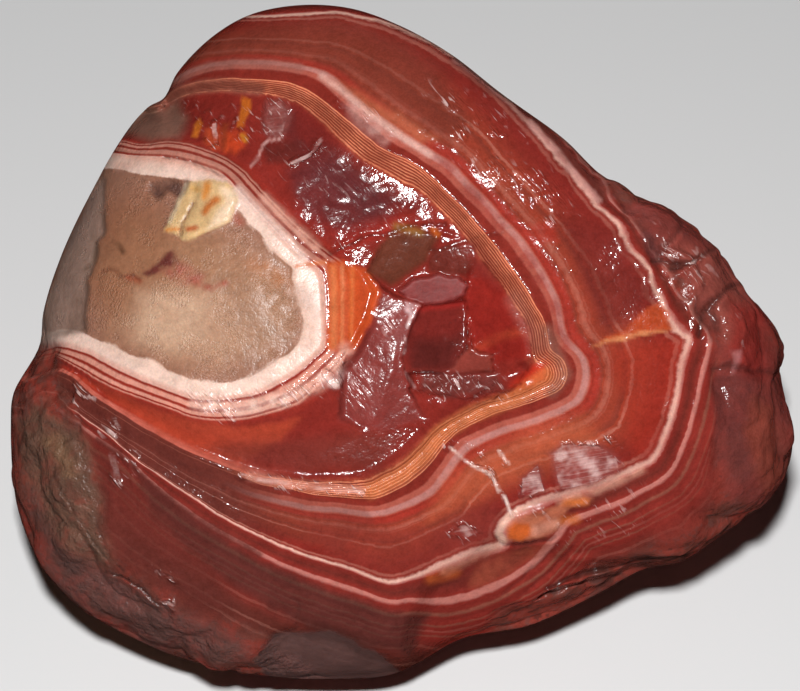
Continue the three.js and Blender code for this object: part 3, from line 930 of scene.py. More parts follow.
# lower left, with darker patches towards the bottom as painted shade where the stone turns downwards
LOWER_LEFT_STAINS = (
    patch(((70, 372), (110, 392), (150, 408), (190, 420), (250, 426), (300, 418), (280, 440), (240, 464),
        (200, 452), (160, 436), (128, 412), (100, 394)), 0.8, 5, (168, 62, 38), 0.16),
    patch(((210, 446), (280, 440), (360, 430), (400, 436), (380, 468), (300, 474), (230, 464)), 0.65, 10,
        (104, 40, 32), 0.2),
    # painted shade over the faint bands of the lower left
    patch(((118, 424), (150, 434), (190, 456), (240, 476), (300, 496), (363, 506), (374, 522), (340, 550),
        (280, 536), (240, 520), (200, 498), (160, 474), (128, 450)), 0.4, 3, (94, 38, 30), 0.16),
    Stain(((250, 475), (290, 484), (362, 490)), 0.5, 3, 4, (214, 146, 128), 0.16),
    patch(((300, 525), (380, 528), (440, 528), (486, 506), (500, 520), (480, 548), (420, 568), (388, 576),
        (330, 556)), 0.6, 8, (124, 41, 32), 0.18),
    # painted shade towards the bottom
    patch(((130, 468), (200, 522), (260, 560), (330, 590), (392, 612), (430, 616), (410, 655), (330, 640),
        (262, 604), (200, 565), (150, 515)), 0.75, 6, (70, 34, 29), 0.2),
    patch(((92, 440), (120, 460), (150, 505), (200, 560), (240, 606), (190, 612), (150, 580), (115, 560),
        (104, 530), (96, 490)), 0.8, 10, (92, 35, 28), 0.2),
    Stain(((98, 440), (124, 458), (155, 488), (190, 514), (220, 531), (260, 554)), 0.85, 2.5, 3.5,
        (88, 35, 29), 0.18, 0.2),
    patch(((14, 420), (40, 400), (70, 430), (88, 440), (92, 470), (98, 500), (105, 540), (112, 562),
        (90, 575), (50, 540), (24, 490)), 0.8, 11, (96, 70, 55), 0.42, 0.35),
    patch(((24, 490), (50, 540), (90, 575), (112, 580), (150, 600), (190, 615), (250, 640), (256, 660),
        (150, 650), (60, 590)), 0.8, 10, (86, 58, 53), 0.38, 0.25),
    Stain(((50, 440), (72, 470)), 0.6, 6, 8, (126, 92, 66), 0.42, 0.3),
)

# broken tongue of the outer white line, and painted shade under the ledges below it
TONGUE_STAINS = (
    patch(((506, 526), (515, 518), (530, 513), (548, 508), (572, 502), (594, 497), (590, 503), (572, 510),
        (564, 517), (558, 531), (545, 537), (522, 541), (507, 542)), 0.8, 2.5, (186, 106, 76), 0.2, 0.35),
    patch(((507, 540), (508, 529), (516, 522), (530, 523), (533, 531), (524, 541)), 0.9, 2.5, (190, 84, 22),
        0.2),
    Stain(((536, 531), (556, 524)), 0.6, 4, 5, (206, 144, 122), 0.2, 0.3),
    patch(((478, 566), (500, 556), (530, 548), (552, 541), (540, 556), (515, 572), (490, 584), (470, 588)),
        0.7, 4, (140, 62, 42), 0.2, 0.4),
    Stain(((566, 503), (584, 501)), 0.7, 4, 4, (204, 104, 34), 0.2, 0.3),
    Stain(((564, 521), (576, 520)), 0.7, 4, 4, (204, 104, 34), 0.2, 0.3),
    Stain(((510, 516), (502, 525), (499, 534), (503, 541)), 0.8, 2.5, 3, (224, 176, 156), 0.25),
    Stain(((430, 579), (455, 573)), 0.7, 5, 5, (200, 92, 36), 0.25, 0.3),
    Stain(((444, 572), (470, 561), (496, 549)), 0.45, 5, 4, (206, 140, 116), 0.25, 0.5),
    # painted shade in the hollow under the ledges at the bottom right
    patch(((600, 586), (640, 573), (690, 560), (704, 572), (640, 597), (600, 608)), 0.6, 8, (54, 25, 21),
        0.2, 0.3),
)

# right lobe and foot
LOBE_STAINS = (
    patch(((712, 400), (722, 440), (724, 490), (700, 520), (660, 540), (640, 520), (680, 490), (700, 440)),
        0.5, 8, (126, 38, 30), 0.14),
    patch(((628, 206), (650, 196), (690, 214), (722, 250), (750, 290), (775, 330), (796, 400), (798, 450),
        (784, 492), (760, 508), (730, 500), (716, 440), (714, 380), (718, 335), (700, 296), (676, 262),
        (650, 232)), 0.75, 8, (118, 48, 43), 0.15),
    patch(((672, 236), (715, 252), (750, 300), (756, 340), (728, 345), (700, 300)), 0.75, 10, (138, 68, 58),
        0.16, 0.3),
    patch(((640, 232), (652, 228), (664, 245), (668, 262), (655, 264), (646, 250)), 0.6, 4, (90, 46, 46),
        0.2),
    patch(((735, 300), (765, 310), (775, 345), (770, 380), (745, 380), (730, 350)), 0.7, 9, (134, 32, 26),
        0.14),
    patch(((720, 375), (745, 372), (762, 385), (760, 420), (745, 440), (722, 430)), 0.5, 8, (84, 38, 36),
        0.15, 0.3),
    patch(((760, 398), (778, 408), (790, 440), (785, 480), (766, 496), (754, 470), (756, 430)), 0.6, 8,
        (130, 58, 42), 0.14),
    patch(((734, 428), (754, 430), (756, 470), (748, 488), (736, 480)), 0.4, 6, (90, 46, 43), 0.14),
    patch(((732, 352), (745, 350), (741, 364), (736, 376)), 0.7, 2.5, (170, 106, 104), 0.12),
    patch(((256, 652), (275, 634), (330, 631), (376, 650), (402, 674), (330, 690), (270, 684)), 0.85, 2.5,
        (88, 60, 56), 0.4),
)

# all stains, each laid over those before it
STAINS = (
    *WINDOW_STAINS, *CHIP_STAINS, *AMBER_STAINS, *RECESS_STAINS, *LINE_STAINS, *SATIN_STAINS,
    *CAVITY_STAINS, *CORD_STAINS, *TERRACE_STAINS, *GLINT_LINE_STAINS, *SHOULDER_STAINS,
    *LOWER_LEFT_STAINS, *TONGUE_STAINS, *LOBE_STAINS,
)

CRINKLES = (
    Mark(((322, 136), (350, 150), (410, 196), (440, 214), (420, 232), (330, 252), (285, 215), (258, 176),
        (290, 158)), 0.42, 10),
    Mark(((176, 100), (262, 100), (258, 152), (200, 146)), 0.6, 10),
    Mark(((262, 98), (290, 100), (291, 118), (280, 140), (262, 138)), 0.6, 6),
    Mark(((430, 96), (520, 128), (560, 170), (604, 228), (560, 240), (500, 200), (440, 140)), 0.4, 16),
    Mark(((385, 294), (418, 306), (402, 356), (413, 420), (340, 420), (344, 371), (368, 323)), 0.12, 8),
    Mark(ROUGH_FLOOR, 0.8, 6),
    Mark(((400, 590), (450, 600), (430, 650), (390, 650)), 0.5, 12),
)

# glint areas: foil relief with pale nicks painted as highlights, and painted sheen where the strength is
# above 1
GLINTS = (
    Mark(((86, 396), (94, 400)), 1.5, 3, 4),
    Mark(((112, 416), (120, 430)), 1.5, 3, 4),
    Mark(((100, 432), (106, 440)), 1.5, 3, 4),
    Mark(((112, 456), (118, 480)), 1.3, 5, 7),
    Mark(((84, 392), (104, 420), (122, 452), (136, 488)), 0.9, 8, 9),
    Mark(((156, 570), (174, 580)), 1.3, 4, 5),
    Mark(((164, 604), (177, 606)), 1.6, 2.5, 3.5),
    Mark(((234, 118), (232, 130)), 1.8, 2, 2.5),
    Mark(((214, 124), (216, 142)), 1.5, 3, 4),
    Mark(((206, 136), (212, 146)), 1.3, 3, 4),
    Mark(((268, 98), (280, 98), (290, 108), (287, 130), (278, 140), (266, 138), (262, 118)), 1.3, 4),
    Mark(((292, 162), (305, 157), (315, 148), (321, 140)), 1.6, 3, 4),
    Mark(((747, 342), (748, 350)), 1.7, 2.5, 3),
    Mark(((690, 264), (700, 260)), 1.5, 3, 4),
    Mark(((268, 150), (330, 150), (410, 200), (430, 222), (340, 246), (290, 215)), 0.2, 14),
    Mark(((180, 100), (262, 100), (262, 158), (200, 146)), 0.5, 12),
    Mark(((430, 90), (480, 100), (520, 140), (500, 180), (450, 150)), 1.0, 14),
    Mark(((510, 160), (548, 170), (592, 228), (560, 236), (520, 200)), 0.6, 12),
    Mark(((326, 84), (360, 92), (392, 132), (370, 142), (330, 106)), 1.25, 8),
    Mark(((322, 250), (342, 240), (356, 256), (340, 264)), 1.0, 6),
    Mark(((548, 452), (560, 443), (600, 444), (618, 458), (619, 472), (596, 484), (575, 491), (558, 490)),
        1.6, 4),
    Mark(MIDDLE_SHEEN_PATCH, 1.6, 3),
    Mark(LOW_SHEEN_PATCH, 1.4, 4),
    Mark(((463, 460), (480, 468), (490, 473), (498, 488), (505, 498), (508, 510), (513, 516)), 1.6, 2, 2.5),
    Mark(((450, 446), (466, 450), (485, 460)), 0.9, 4, 5),
    Mark(((500, 452), (505, 463)), 1.6, 2, 2.5),
    Mark(((608, 438), (622, 448)), 1.7, 2.5, 3),
    Mark(((512, 514), (535, 511), (560, 506)), 0.8, 4, 5),
    Mark(((580, 520), (600, 527), (622, 512), (620, 530)), 0.4, 5, 6),
    Mark(((190, 388), (250, 398), (318, 374), (350, 348), (345, 380), (300, 414), (240, 424), (190, 412)),
        1.2, 8),
    Mark(((385, 296), (416, 308), (400, 340), (380, 336)), 0.3, 8),
    Mark(((338, 356), (356, 348), (372, 380), (366, 410), (345, 404)), 0.3, 8),
    Mark(((326, 372), (336, 386)), 1.7, 3, 5),
    Mark(ROUGH_FLOOR, 0.9, 6),
    Mark(((545, 505), (640, 488), (640, 530), (560, 545)), 0.3, 10),
    Mark(((60, 370), (110, 400), (100, 440), (70, 420)), 0.8, 8),
    Mark(((240, 474), (300, 485), (366, 492)), 1.4, 4, 5),
    Mark(((640, 215), (700, 250), (740, 310), (720, 330), (670, 280)), 0.5, 10),
)

SMOOTH = Mark((
    (364, 273), (388, 232), (437, 234), (480, 262), (534, 330), (535, 358), (500, 370), (452, 370),
    (404, 370), (402, 340), (420, 306), (400, 300), (384, 302), (372, 326), (354, 350), (346, 344),
    (362, 300),
), 1.0, 5)

# cracks, clefts and gaps between ledges: cut into the relief, and painted near black along them as painted
# shade
CRACKS = (
    Mark(((104, 214), (103, 232), (97, 240), (97, 252), (93, 265), (88, 280), (86, 305), (84, 330)), 0.3,
        1.6, 0.7),
    Mark(((497, 539), (505, 547), (530, 543), (556, 537)), 0.7, 2.0, 1.2),
    Mark(((560, 545), (535, 570), (505, 594)), 0.5, 2.5, 1.2),
    Mark(((575, 548), (550, 574), (520, 600)), 0.4, 2.5, 1.2),
    Mark(((194, 202), (189, 212), (184, 222), (182, 236)), 0.35, 1.6, 0.8),
    Mark(((330, 254), (362, 240), (398, 228), (445, 222)), 0.7, 2.0, 1.0),
    Mark(((110, 579), (128, 578), (140, 588), (150, 597), (158, 607)), 0.9, 1.6, 1.2),
    Mark(((52, 470), (62, 490), (75, 515), (85, 535), (105, 560)), 0.45, 1.6, 0.7),
    Mark(((95, 520), (103, 540), (108, 558)), 0.45, 1.6, 0.7),
    Mark(((165, 155), (180, 158), (200, 165), (215, 172), (224, 177)), 0.7, 1.5, 0.9),
    Mark(((652, 262), (664, 261), (680, 266)), 0.7, 2.5, 2.0),
    Mark(((716, 300), (719, 330)), 0.6, 3.0, 2.0),
    Mark(((548, 592), (590, 572), (640, 560), (688, 553)), 0.9, 3.0, 2.0),
    Mark(((710, 250), (694, 262), (676, 268)), 0.85, 3.0, 2.0),
    Mark(((736, 287), (718, 302), (704, 322), (697, 336)), 0.85, 3.0, 2.0),
    Mark(((776, 372), (750, 372), (730, 366), (716, 370)), 0.7, 3.5, 2.0),
    Mark(((672, 204), (684, 222), (676, 240), (664, 252)), 0.6, 3.0, 1.5),
    Mark(((540, 606), (580, 590), (620, 578)), 0.7, 2.5, 1.5),
    Mark(((292, 600), (300, 604), (296, 628), (270, 640)), 0.4, 2.0, 1.0),
    Mark(((430, 250), (466, 241), (500, 234)), 0.3, 2.0, 1.0),
)


@dataclass(frozen=True)
class Wrinkles:
    """Drawn-out wrinkles of the crinkled breaks, in millimetres.

    Each fold has its share of the height, its size and a shift in the noise.
    """

    height: float = 0.6
    middle: float = 0.6
    turn: float = math.radians(42)
    length: float = 3.8
    width: float = 1.7
    slide: Swell = Swell(0.9, 2.0)
    slide_level: float = 40.0
    sway: Swell = Swell(1.7, 2.3)
    folds: tuple[Spot, ...] = ((0.6, 1.0, 0.0), (0.28, 0.55, 11.3), (0.12, 0.3, 0.0))

    def at(self, face: Array) -> Array:
        """Height of the wrinkles about their middle.

        Args:
            face: places in the plane of the face.

        Returns:
            The height at each place.
        """
        sine, cosine = math.sin(self.turn), math.cos(self.turn)
        along = (face[:, 0] * cosine + face[:, 1] * sine) / self.length
        across = (face[:, 1] * cosine - face[:, 0] * sine) / self.width
        along += self.slide.at(at_level(face, self.slide_level))
        across += self.sway.at(at_level(face))
        bent = at_level(np.column_stack([along, across]))
        folds = sum(share * ridged_noise(bent + shift, size) for share, size, shift in self.folds)
        return self.height * (folds - self.middle)


@dataclass(frozen=True)
class Relief:
    """What stands out of the banded face or is broken into it, in millimetres."""

    parting: tuple[Span, Span] = ((0, 230), (548, 372))
    upper_profile: Trace = (
        (-5, 0), (-0.1, 0), (0.1, -0.12), (0.8, -0.12), (0.98, 0.15), (1.1, 0.02), (1.3, 0.06), (1.4, 0.3),
        (1.52, 0.14), (1.64, 0.2), (1.73, 0.48), (1.84, 0.34), (1.94, 0.5), (2.05, 0.9), (2.3, 1.1),
        (2.8, 1.85), (3.0, 1.8), (4.0, -0.15), (4.15, -0.2), (5.0, 0.02), (5.5, 0.16), (6.0, 0.32),
        (6.5, 0.32), (6.9, 0.09), (7.0, 0.0), (7.2, -0.02), (7.35, 0.05), (7.75, 0.1), (7.9, -0.1),
        (8.08, -0.1), (8.25, 0.1), (8.6, 0),
    )
    lower_profile: Trace = (
        (-5, 0), (-0.1, 0), (0.1, -0.12), (0.8, -0.12), (0.98, 0.1), (1.1, -0.02), (1.3, 0.0), (1.4, 0.15),
        (1.5, 0.02), (1.64, 0.04), (1.73, 0.2), (1.84, 0.08), (2.0, 0.26), (2.2, 0.5), (2.6, 1.0),
        (2.9, 0.95), (3.05, 0.45), (3.3, -0.25), (3.8, -0.2), (4.0, 0.04), (4.35, 0.16), (4.8, 0.19),
        (5.5, 0.22), (6.0, 0.24), (6.3, 0.2), (6.85, 0.02), (6.98, -0.08), (7.16, -0.05), (7.3, 0.14),
        (7.7, 0.18), (7.92, 0.08), (8.06, 0.1), (8.18, 0.3), (8.3, 0.22), (8.42, 0.4), (8.56, 0.32),
        (8.7, 0.46), (8.82, 0.4), (9.0, 0.5), (9.5, 0.5),
    )
    facets: tuple[Facet, ...] = (
        # floor of the whole cavity
        Facet(((366, 272), (392, 232), (440, 226), (472, 240), (500, 280), (530, 326), (534, 358),
            (520, 384), (486, 404), (440, 424), (424, 420), (412, 394), (404, 374), (402, 356), (409, 328),
            (420, 306), (400, 300), (384, 290)), 2.5, (0.02, 0.0), 3.0),
        # satin wall
        Facet(((384, 290), (404, 301), (421, 306), (410, 328), (403, 356), (405, 374), (412, 394),
            (424, 420), (380, 440), (338, 420), (342, 371), (356, 350), (370, 323)), 0.75, (-0.15, 0.0),
            6.0),
        # olive break, red-brown break, dark pit, bright wall, foot wall, rough floor
        Facet(((388, 228), (437, 232), (428, 260), (392, 283), (364, 273)), 1.95, (0.1, 0.18), 4.0),
        Facet(((437, 228), (473, 240), (480, 262), (466, 274), (428, 272)), 1.95, (-0.06, 0.12), 4.0),
        Facet(((420, 306), (468, 300), (467, 352), (452, 372), (406, 374), (402, 356), (409, 328)), 2.4,
            (0.38, -0.1)),
        Facet(((470, 272), (500, 280), (534, 330), (535, 358), (505, 372), (474, 352), (467, 310)), 2.5,
            (-0.36, 0.1)),
        Facet(((408, 388), (500, 392), (486, 404), (440, 426), (424, 420)), 1.5, (0.0, -0.45)),
        Facet(((412, 374), (506, 372), (506, 386), (470, 398), (416, 392)), 2.7, (0.0, -0.25)),
        # mauve shelf and the chip on the floor
        Facet(SHELF, 1.9, (0.05, 0.12), 1.5),
        Facet(FLOOR_CHIP, 2.0, (-0.12, 0.25), 1.5),
    )
    amber: Mark = Mark(
        ((327, 264), (344, 261), (362, 270), (374, 292), (364, 322), (352, 346), (338, 350), (328, 345)),
        1.0, 3,
    )
    amber_profile: Trace = ((1.0, 0.0), (2.0, 0.9), (2.15, 1.45))
    crest: Mark = Mark(
        ((386, 291), (404, 301), (420, 306), (409, 328), (403, 356), (405, 374), (412, 394)), 0.06, 1.5, 1.5
    )
    hollows: tuple[Mark, ...] = (
        Mark(((430, 585), (470, 563), (501, 538), (512, 547), (560, 550), (620, 557), (690, 556),
            (720, 600), (560, 700), (420, 700), (410, 640)), 1.5, 12),
        Mark(((20, 345), (40, 262), (91, 165), (106, 178), (104, 212), (104, 232), (97, 240), (97, 252),
            (93, 265), (88, 280), (86, 305), (84, 332), (62, 334), (44, 338)), 0.8, 3.5),
        Mark(NOTCH, 0.5, 4),
        Mark(((254, 665), (273, 637), (300, 629), (340, 637), (375, 652), (404, 670), (390, 720),
            (270, 720)), 1.2, 10),
        Mark(((165, 230), (174, 208), (188, 182), (192, 200), (186, 218), (180, 231)), -0.35, 4),
        Mark(((194, 204), (202, 181), (228, 184), (237, 200), (228, 222), (205, 233), (196, 239),
            (184, 238), (186, 222)), -0.4, 5),
    )
    strata: tuple[Mark, ...] = (
        Mark(((500, 524), (515, 514), (540, 506), (575, 497), (600, 490), (598, 503), (575, 512),
            (563, 522), (556, 536), (522, 543), (503, 544)), 0.35, 4),
        Mark(((575, 561), (620, 556), (660, 553), (700, 549)), 0.7, 5, 4),
        Mark(((556, 592), (600, 576), (640, 567), (680, 559)), 0.8, 5, 4),
        Mark(((535, 617), (575, 598), (612, 583)), 0.7, 5, 4),
    )
    lumps: tuple[tuple[float, float, float, float], ...] = (
        (5.4, 15.8, 7.0, 0.2), (8.5, 4.5, 5.0, 0.7), (-15.4, 3.5, 7.0, 0.6), (12.3, -9.2, 5.4, 0.6),
        (16.9, -14.6, 2.4, 0.5), (20.6, 9.0, 2.2, 1.0), (23.1, 6.3, 2.0, 1.0), (24.9, 3.8, 1.7, 0.9),
        (26.8, 1.0, 2.0, 0.9), (28.0, -2.0, 2.1, 0.8), (27.3, -6.7, 3.4, 0.8), (23.1, 3.5, 1.4, 0.5),
        (22.3, -12.7, 2.0, 0.4), (20.2, 6.4, 1.1, -0.7), (24.0, 2.1, 1.1, -0.6), (25.0, -3.0, 1.7, -0.5),
        (16.5, 11.6, 0.9, -0.6), (-26.5, -6.1, 3.0, 0.5), (-27.3, -11.1, 2.6, 0.4),
        (-25.0, -15.3, 2.2, 0.5), (-21.7, -19.0, 1.8, -0.6), (-19.2, -20.5, 1.7, 0.5),
        (-23.5, -17.7, 1.5, -0.4), (3.8, -22.7, 2.0, 0.4), (10.8, -19.6, 2.0, 0.4),
    )
    waves: tuple[Swell, ...] = (Swell(0.16, 6.0), Swell(0.06, 2.2), Swell(0.025, 1.0))
    wrinkles: Wrinkles = Wrinkles()
    crack_depth: float = 0.7
    parting_soft: float = 14.0
    cord_from: Span = (300.0, 390.0)
    cord_bands: Span = (3.0, 5.5)
    cord_least: float = 0.2
    cavity_edge: Span = (3.05, 2.9)
    torn: Mark = Mark(
        ((540, 130), (600, 160), (660, 210), (730, 330), (690, 350), (640, 300), (590, 220), (540, 170)),
        1.0, 14,
    )
    torn_from: Span = (6.9, 7.0)
    torn_to: Span = (8.3, 8.1)
    torn_swells: tuple[Swell, ...] = (Swell(0.3, 1.3), Swell(0.12, 0.6))

    def side(self, seen: Array, side: Side) -> Array:
        """How far places lie on one side of the band corner.

        Args:
            seen: pixels at which the places are seen.
            side: the side to test.

        Returns:
            1 on that side, 0 on the other, with a soft change.
        """
        (x0, y0), (x1, y1) = self.parting
        above = y0 + (seen[:, 0] - x0) * (y1 - y0) / (x1 - x0) - seen[:, 1]
        upper = rise(-self.parting_soft, self.parting_soft, above)
        return upper if side is Side.UPPER else 1 - upper

    def ledges(self, seen: Array, band: Array) -> Array:
        """How far the ledges along the bands and the amber step stand out.

        Args:
            seen: pixels at which the places are seen.
            band: band values of the places.

        Returns:
            Height in millimetres.
        """
        upper = self.side(seen, Side.UPPER)
        cord = self.cord_least + (1 - self.cord_least) * rise(*self.cord_from, seen[:, 0])
        first, last = self.cord_bands
        lower = np.interp(band, *zip(*self.lower_profile))
        lower = np.where((band > first) & (band < last), lower * cord, lower)
        height = -upper * np.interp(band, *zip(*self.upper_profile)) - (1 - upper) * lower
        amber = self.amber.cover(seen)
        return height * (1 - amber) - amber * np.interp(band, *zip(*self.amber_profile))

    def height(self, face: Array, seen: Array, drifted: Array, band: Array, crinkle: Array) -> Array:
        """How far the face stands out at its places.

        Args:
            face: places in the plane of the face, in millimetres.
            seen: pixels at which the places are seen.
            drifted: the same with the drift of stains.
            band: band values of the places.
            crinkle: how crinkled the places are.

        Returns:
            Height in millimetres.
        """
        height = self.ledges(seen, band)
        cavity = np.zeros(len(seen))
        for facet in self.facets:
            cavity = facet.cut(drifted, cavity)
        inside = rise(*self.cavity_edge, band)
        height = np.where(cavity > 0, np.minimum(height, height * (1 - inside) - cavity * inside), height)
        height += self.crest.cover(seen)
        height -= sum(hollow.cover(drifted) for hollow in self.hollows)
        height += sum(ridge.cover(drifted) for ridge in self.strata)
        height -= self.crack_depth * sum(shaded_crack.cover(drifted) for shaded_crack in CRACKS)
        for right, up, radius, lump in self.lumps:
            height += lump * np.exp(-((face[:, 0] - right) ** 2 + (face[:, 1] - up) ** 2) / radius**2)
        spread = at_level(face)
        height += sum(wave.at(spread) for wave in self.waves)
        white = rise(*self.torn_from, band) * rise(*self.torn_to, band) * self.torn.cover(seen)
        height += white * sum(swell.at(spread) for swell in self.torn_swells)
        return height + crinkle * self.wrinkles.at(face)


@dataclass
class AgateStone:
    """The one piece of the object: the whole stone.

    Limits of the wall are millimetres behind the edge that is seen from the front.
    """

    name: str = "agate_stone"
    body: Body = Body()
    rind: Rind = Rind()
    relief: Relief = Relief()
    line_drift: Wander = Wander()
    stain_drift: Wander = Wander(((26, 2.6), (10, 1.8), (5, 1.0)))
    streak_drift: float = 0.3
    line_tear: Wander = Wander(((20, 3.2), (9, 2.4)))
    tear_wall: Span = (1.8, 0.4)
    scallop: Swell = Swell(0.1, 19.0)
    scallop_reach: float = 0.4
    wall_band: float = 3.4
    stain_wall: Span = (2.8, 0.9)
    stain_edge: Swell = Swell(0.8, 2.6)
    break_edge: Swell = Swell(0.5, 5.0)
    break_from: Span = (0.3, 0.9)
    break_band: float = 10.0
    break_lines: float = 1.4
    break_bare: float = 0.45
    husk: Swell = Swell(1.0, 9.0)
    husk_edge: Span = (0.0, 0.4)
    husk_share: float = 0.7
    quiet_from: Span = (300.0, 215.0)
    rim_fade: Span = (0.02, 0.25)
    ball_cuts: int = 7
    dense_from: float = 0.06
    gather: float = 0.3

    def start_mesh(self) -> bpy.types.Object:
        """A ball with small faces, finer where the banded face will be.

        Returns:
            The new object, at the origin.
        """
        bpy.ops.object.select_all(action="DESELECT")
        bpy.ops.mesh.primitive_ico_sphere_add(subdivisions=self.ball_cuts, radius=1.0, location=(0, 0, 0))
        stone = bpy.context.object
        stone.name = self.name
        stone.data.name = self.name
        bpy.ops.object.mode_set(mode="EDIT")
        bpy.ops.mesh.select_all(action="DESELECT")
        bpy.ops.object.mode_set(mode="OBJECT")
        height = np.array([face.center.z for face in stone.data.polygons])
        stone.data.polygons.foreach_set("select", height > self.dense_from)
        bpy.ops.object.mode_set(mode="EDIT")
        bpy.ops.mesh.select_mode(type="FACE")
        bpy.ops.mesh.subdivide(number_cuts=1)
        bpy.ops.object.mode_set(mode="OBJECT")
        return stone

    def gathered(self, mesh: bpy.types.Mesh) -> Array:
        """Directions of the ball's vertices, drawn to the middle of the face, where the finest marks lie.

        Args:
            mesh: the ball's mesh.

        Returns:
            The moved unit directions in the face frame.
        """
        flat = np.empty(len(mesh.vertices) * 3)
        mesh.vertices.foreach_get("co", flat)
        directions = flat.reshape(-1, 3)
        directions = directions / np.linalg.norm(directions, axis=1)[:, None]
        away = np.arccos(np.clip(directions[:, 2], -1, 1))
        share = np.clip(away / (math.pi / 2), 0, 1)
        drawn = away * (1 - self.gather * (1 - share**2))
        across = np.sin(drawn) / np.maximum(np.sin(away), 1e-9)
        return np.column_stack([directions[:, :2] * across[:, None], np.cos(drawn)])

    def bands(self, seen: Array, wall: Array) -> Array:
        """Band values with their drift, their tears and their fall down the wall.

        Args:
            seen: pixels at which the places are seen.
            wall: how far the places lie behind the edge that is seen.

        Returns:
            The band value of each place.
        """
        torn = (self.relief.torn.cover(seen) * rise(*self.tear_wall, wall))[:, None]
        band = BANDS.value(self.line_drift.moved(seen) + torn * (self.line_tear.moved(seen) - seen))
        band += self.scallop.at(at_level(seen)) * np.exp(-((band / self.scallop_reach) ** 2))
        return band + wall / self.wall_band

    def stained(self, seen: Array, drifted: Array) -> tuple[Array, Array]:
        """Colour and roughness of all stains laid over each other.

        Args:
            seen: pixels at which the places are seen.
            drifted: the same with the drift of stains, of which streaks have less.

        Returns:
            Colour weighted by its cover, with the cover as fourth value, and roughness weighted alike.
        """
        streaked = (1 - self.streak_drift) * seen + self.streak_drift * drifted
        colour = np.zeros((len(drifted), 4))
        rough = np.zeros(len(drifted))
        for stain in STAINS:
            cover = stain.cover(streaked if stain.width else drifted)
            colour = colour * (1 - cover)[:, None] + np.array([*srgb(*stain.colour), 1.0]) * cover[:, None]
            rough = rough * (1 - cover) + stain.rough * cover
        return colour, rough

    def shape(self, mesh: bpy.types.Mesh) -> None:
        """Moves the ball's vertices to the stone and stores what its finish reads.

        Args:
            mesh: the ball's mesh.
        """
        directions = self.gathered(mesh)
        out = directions[:, 2]
        front, back = rise(*self.rim_fade, out), rise(*self.rim_fade, -out)
        whole = self.body.points(directions)
        points = self.body.broken(whole)
        seen = FACE.seen(whole)
        face = FACE.plane(seen)
        drifted = self.stain_drift.moved(seen)
        wall = self.body.wall(whole)
        worn = self.rind.worn(face, whole, out)
        cut = np.linalg.norm(points - whole, axis=1) + self.break_edge.at(points)
        opened = rise(*self.break_from, cut) * back
        band = self.bands(seen, wall) * (1 - opened) + (self.break_band - self.break_lines * cut) * opened
        crinkle, glint, shaded_crack = (
            front * np.max([mark.cover(drifted) for mark in marks], axis=0)
            for marks in (CRINKLES, GLINTS, CRACKS)
        )
        uneven = 1 - np.maximum(SMOOTH.cover(seen), self.relief.amber.cover(seen))
        outward = points / np.linalg.norm(points, axis=1)[:, None]
        skin = np.maximum(front, back) * (1 - worn)
        points = points + self.rind.height(points, skin, back, self.body)[:, None] * outward
        points[:, 2] += front * self.relief.height(face, seen, drifted, band, crinkle * uneven)
        mesh.vertices.foreach_set("co", self.inside_box(FACE.in_part(points) * MM).ravel())
        colour, rough = self.stained(seen, drifted)
        shown = rise(*self.stain_wall, wall + self.stain_edge.at(points))
        lower = self.relief.side(seen, Side.LOWER)
        values = {
            "band": band,
            "rind": (1 - worn) * (1 - self.break_bare * opened),
            "earth": self.husk_share * back * rise(*self.husk_edge, self.husk.at(points)),
            "lower": lower,
            "quiet": lower * rise(*self.quiet_from, seen[:, 0]),
            "glint": glint * uneven,
            "shaded_crack": shaded_crack,
            "stain_rough": rough * shown,
        }
        for name, numbers in values.items():
            self.store(mesh, name, "FLOAT", numbers)
        self.store(mesh, "stain", "FLOAT_COLOR", colour * shown[:, None])
        self.store(mesh, "face", "FLOAT_VECTOR", np.column_stack([face, points[:, 2]]))
        mesh.update()

    def inside_box(self, placed: Array) -> Array:
        """Places drawn in a little where fine relief would stand out of the frame's box.

        Args:
            placed: places in the part's frame, in metres.

        Returns:
            The places with the flat at the floor.
        """
        low, high = (np.array(corner) for corner in CAD_BOX)
        placed[:, 2] = np.clip(placed[:, 2], 0, None)
        own_low, own_high = placed.min(axis=0), placed.max(axis=0)
        shrink_low = np.minimum(1, low / np.minimum(own_low, -1e-9))
        shrink_high = np.minimum(1, high / own_high)
        shrink_low[2] = 1
        return placed * np.where(placed < 0, shrink_low, shrink_high)

    def store(self, mesh: bpy.types.Mesh, name: str, kind: str, values: Array) -> None:
        """Keeps values for each vertex, for the finish to read.

        Args:
            mesh: the stone's mesh.
            name: name of the values.
            kind: whether they are numbers, colours or vectors.
            values: one row per vertex.
        """
        part = {"FLOAT": "value", "FLOAT_COLOR": "color", "FLOAT_VECTOR": "vector"}[kind]
        attribute = mesh.attributes.new(name, kind, "POINT")
        attribute.data.foreach_set(part, values.astype(np.float32).ravel())

    def build(self) -> bpy.types.Object:
        """Makes the stone and puts it in the frame.

        Returns:
            The finished object.
        """
        stone = self.start_mesh()
        self.shape(stone.data)
        bpy.ops.object.shade_smooth()
        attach(stone, "root")
        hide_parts("agate")
        LOG.info("%s: %d triangles", stone.name, sum(len(p.vertices) - 2 for p in stone.data.polygons))
        return stone


@dataclass(frozen=True)
class Fold:
    """Wrinkles of the fine relief: length, width and depth in millimetres, turn in degrees, and sway."""

    sizes: Spot
    turn: float
    sway: float = 1.6
    sway_scale: float = 0.6
    detail: float = 1.5


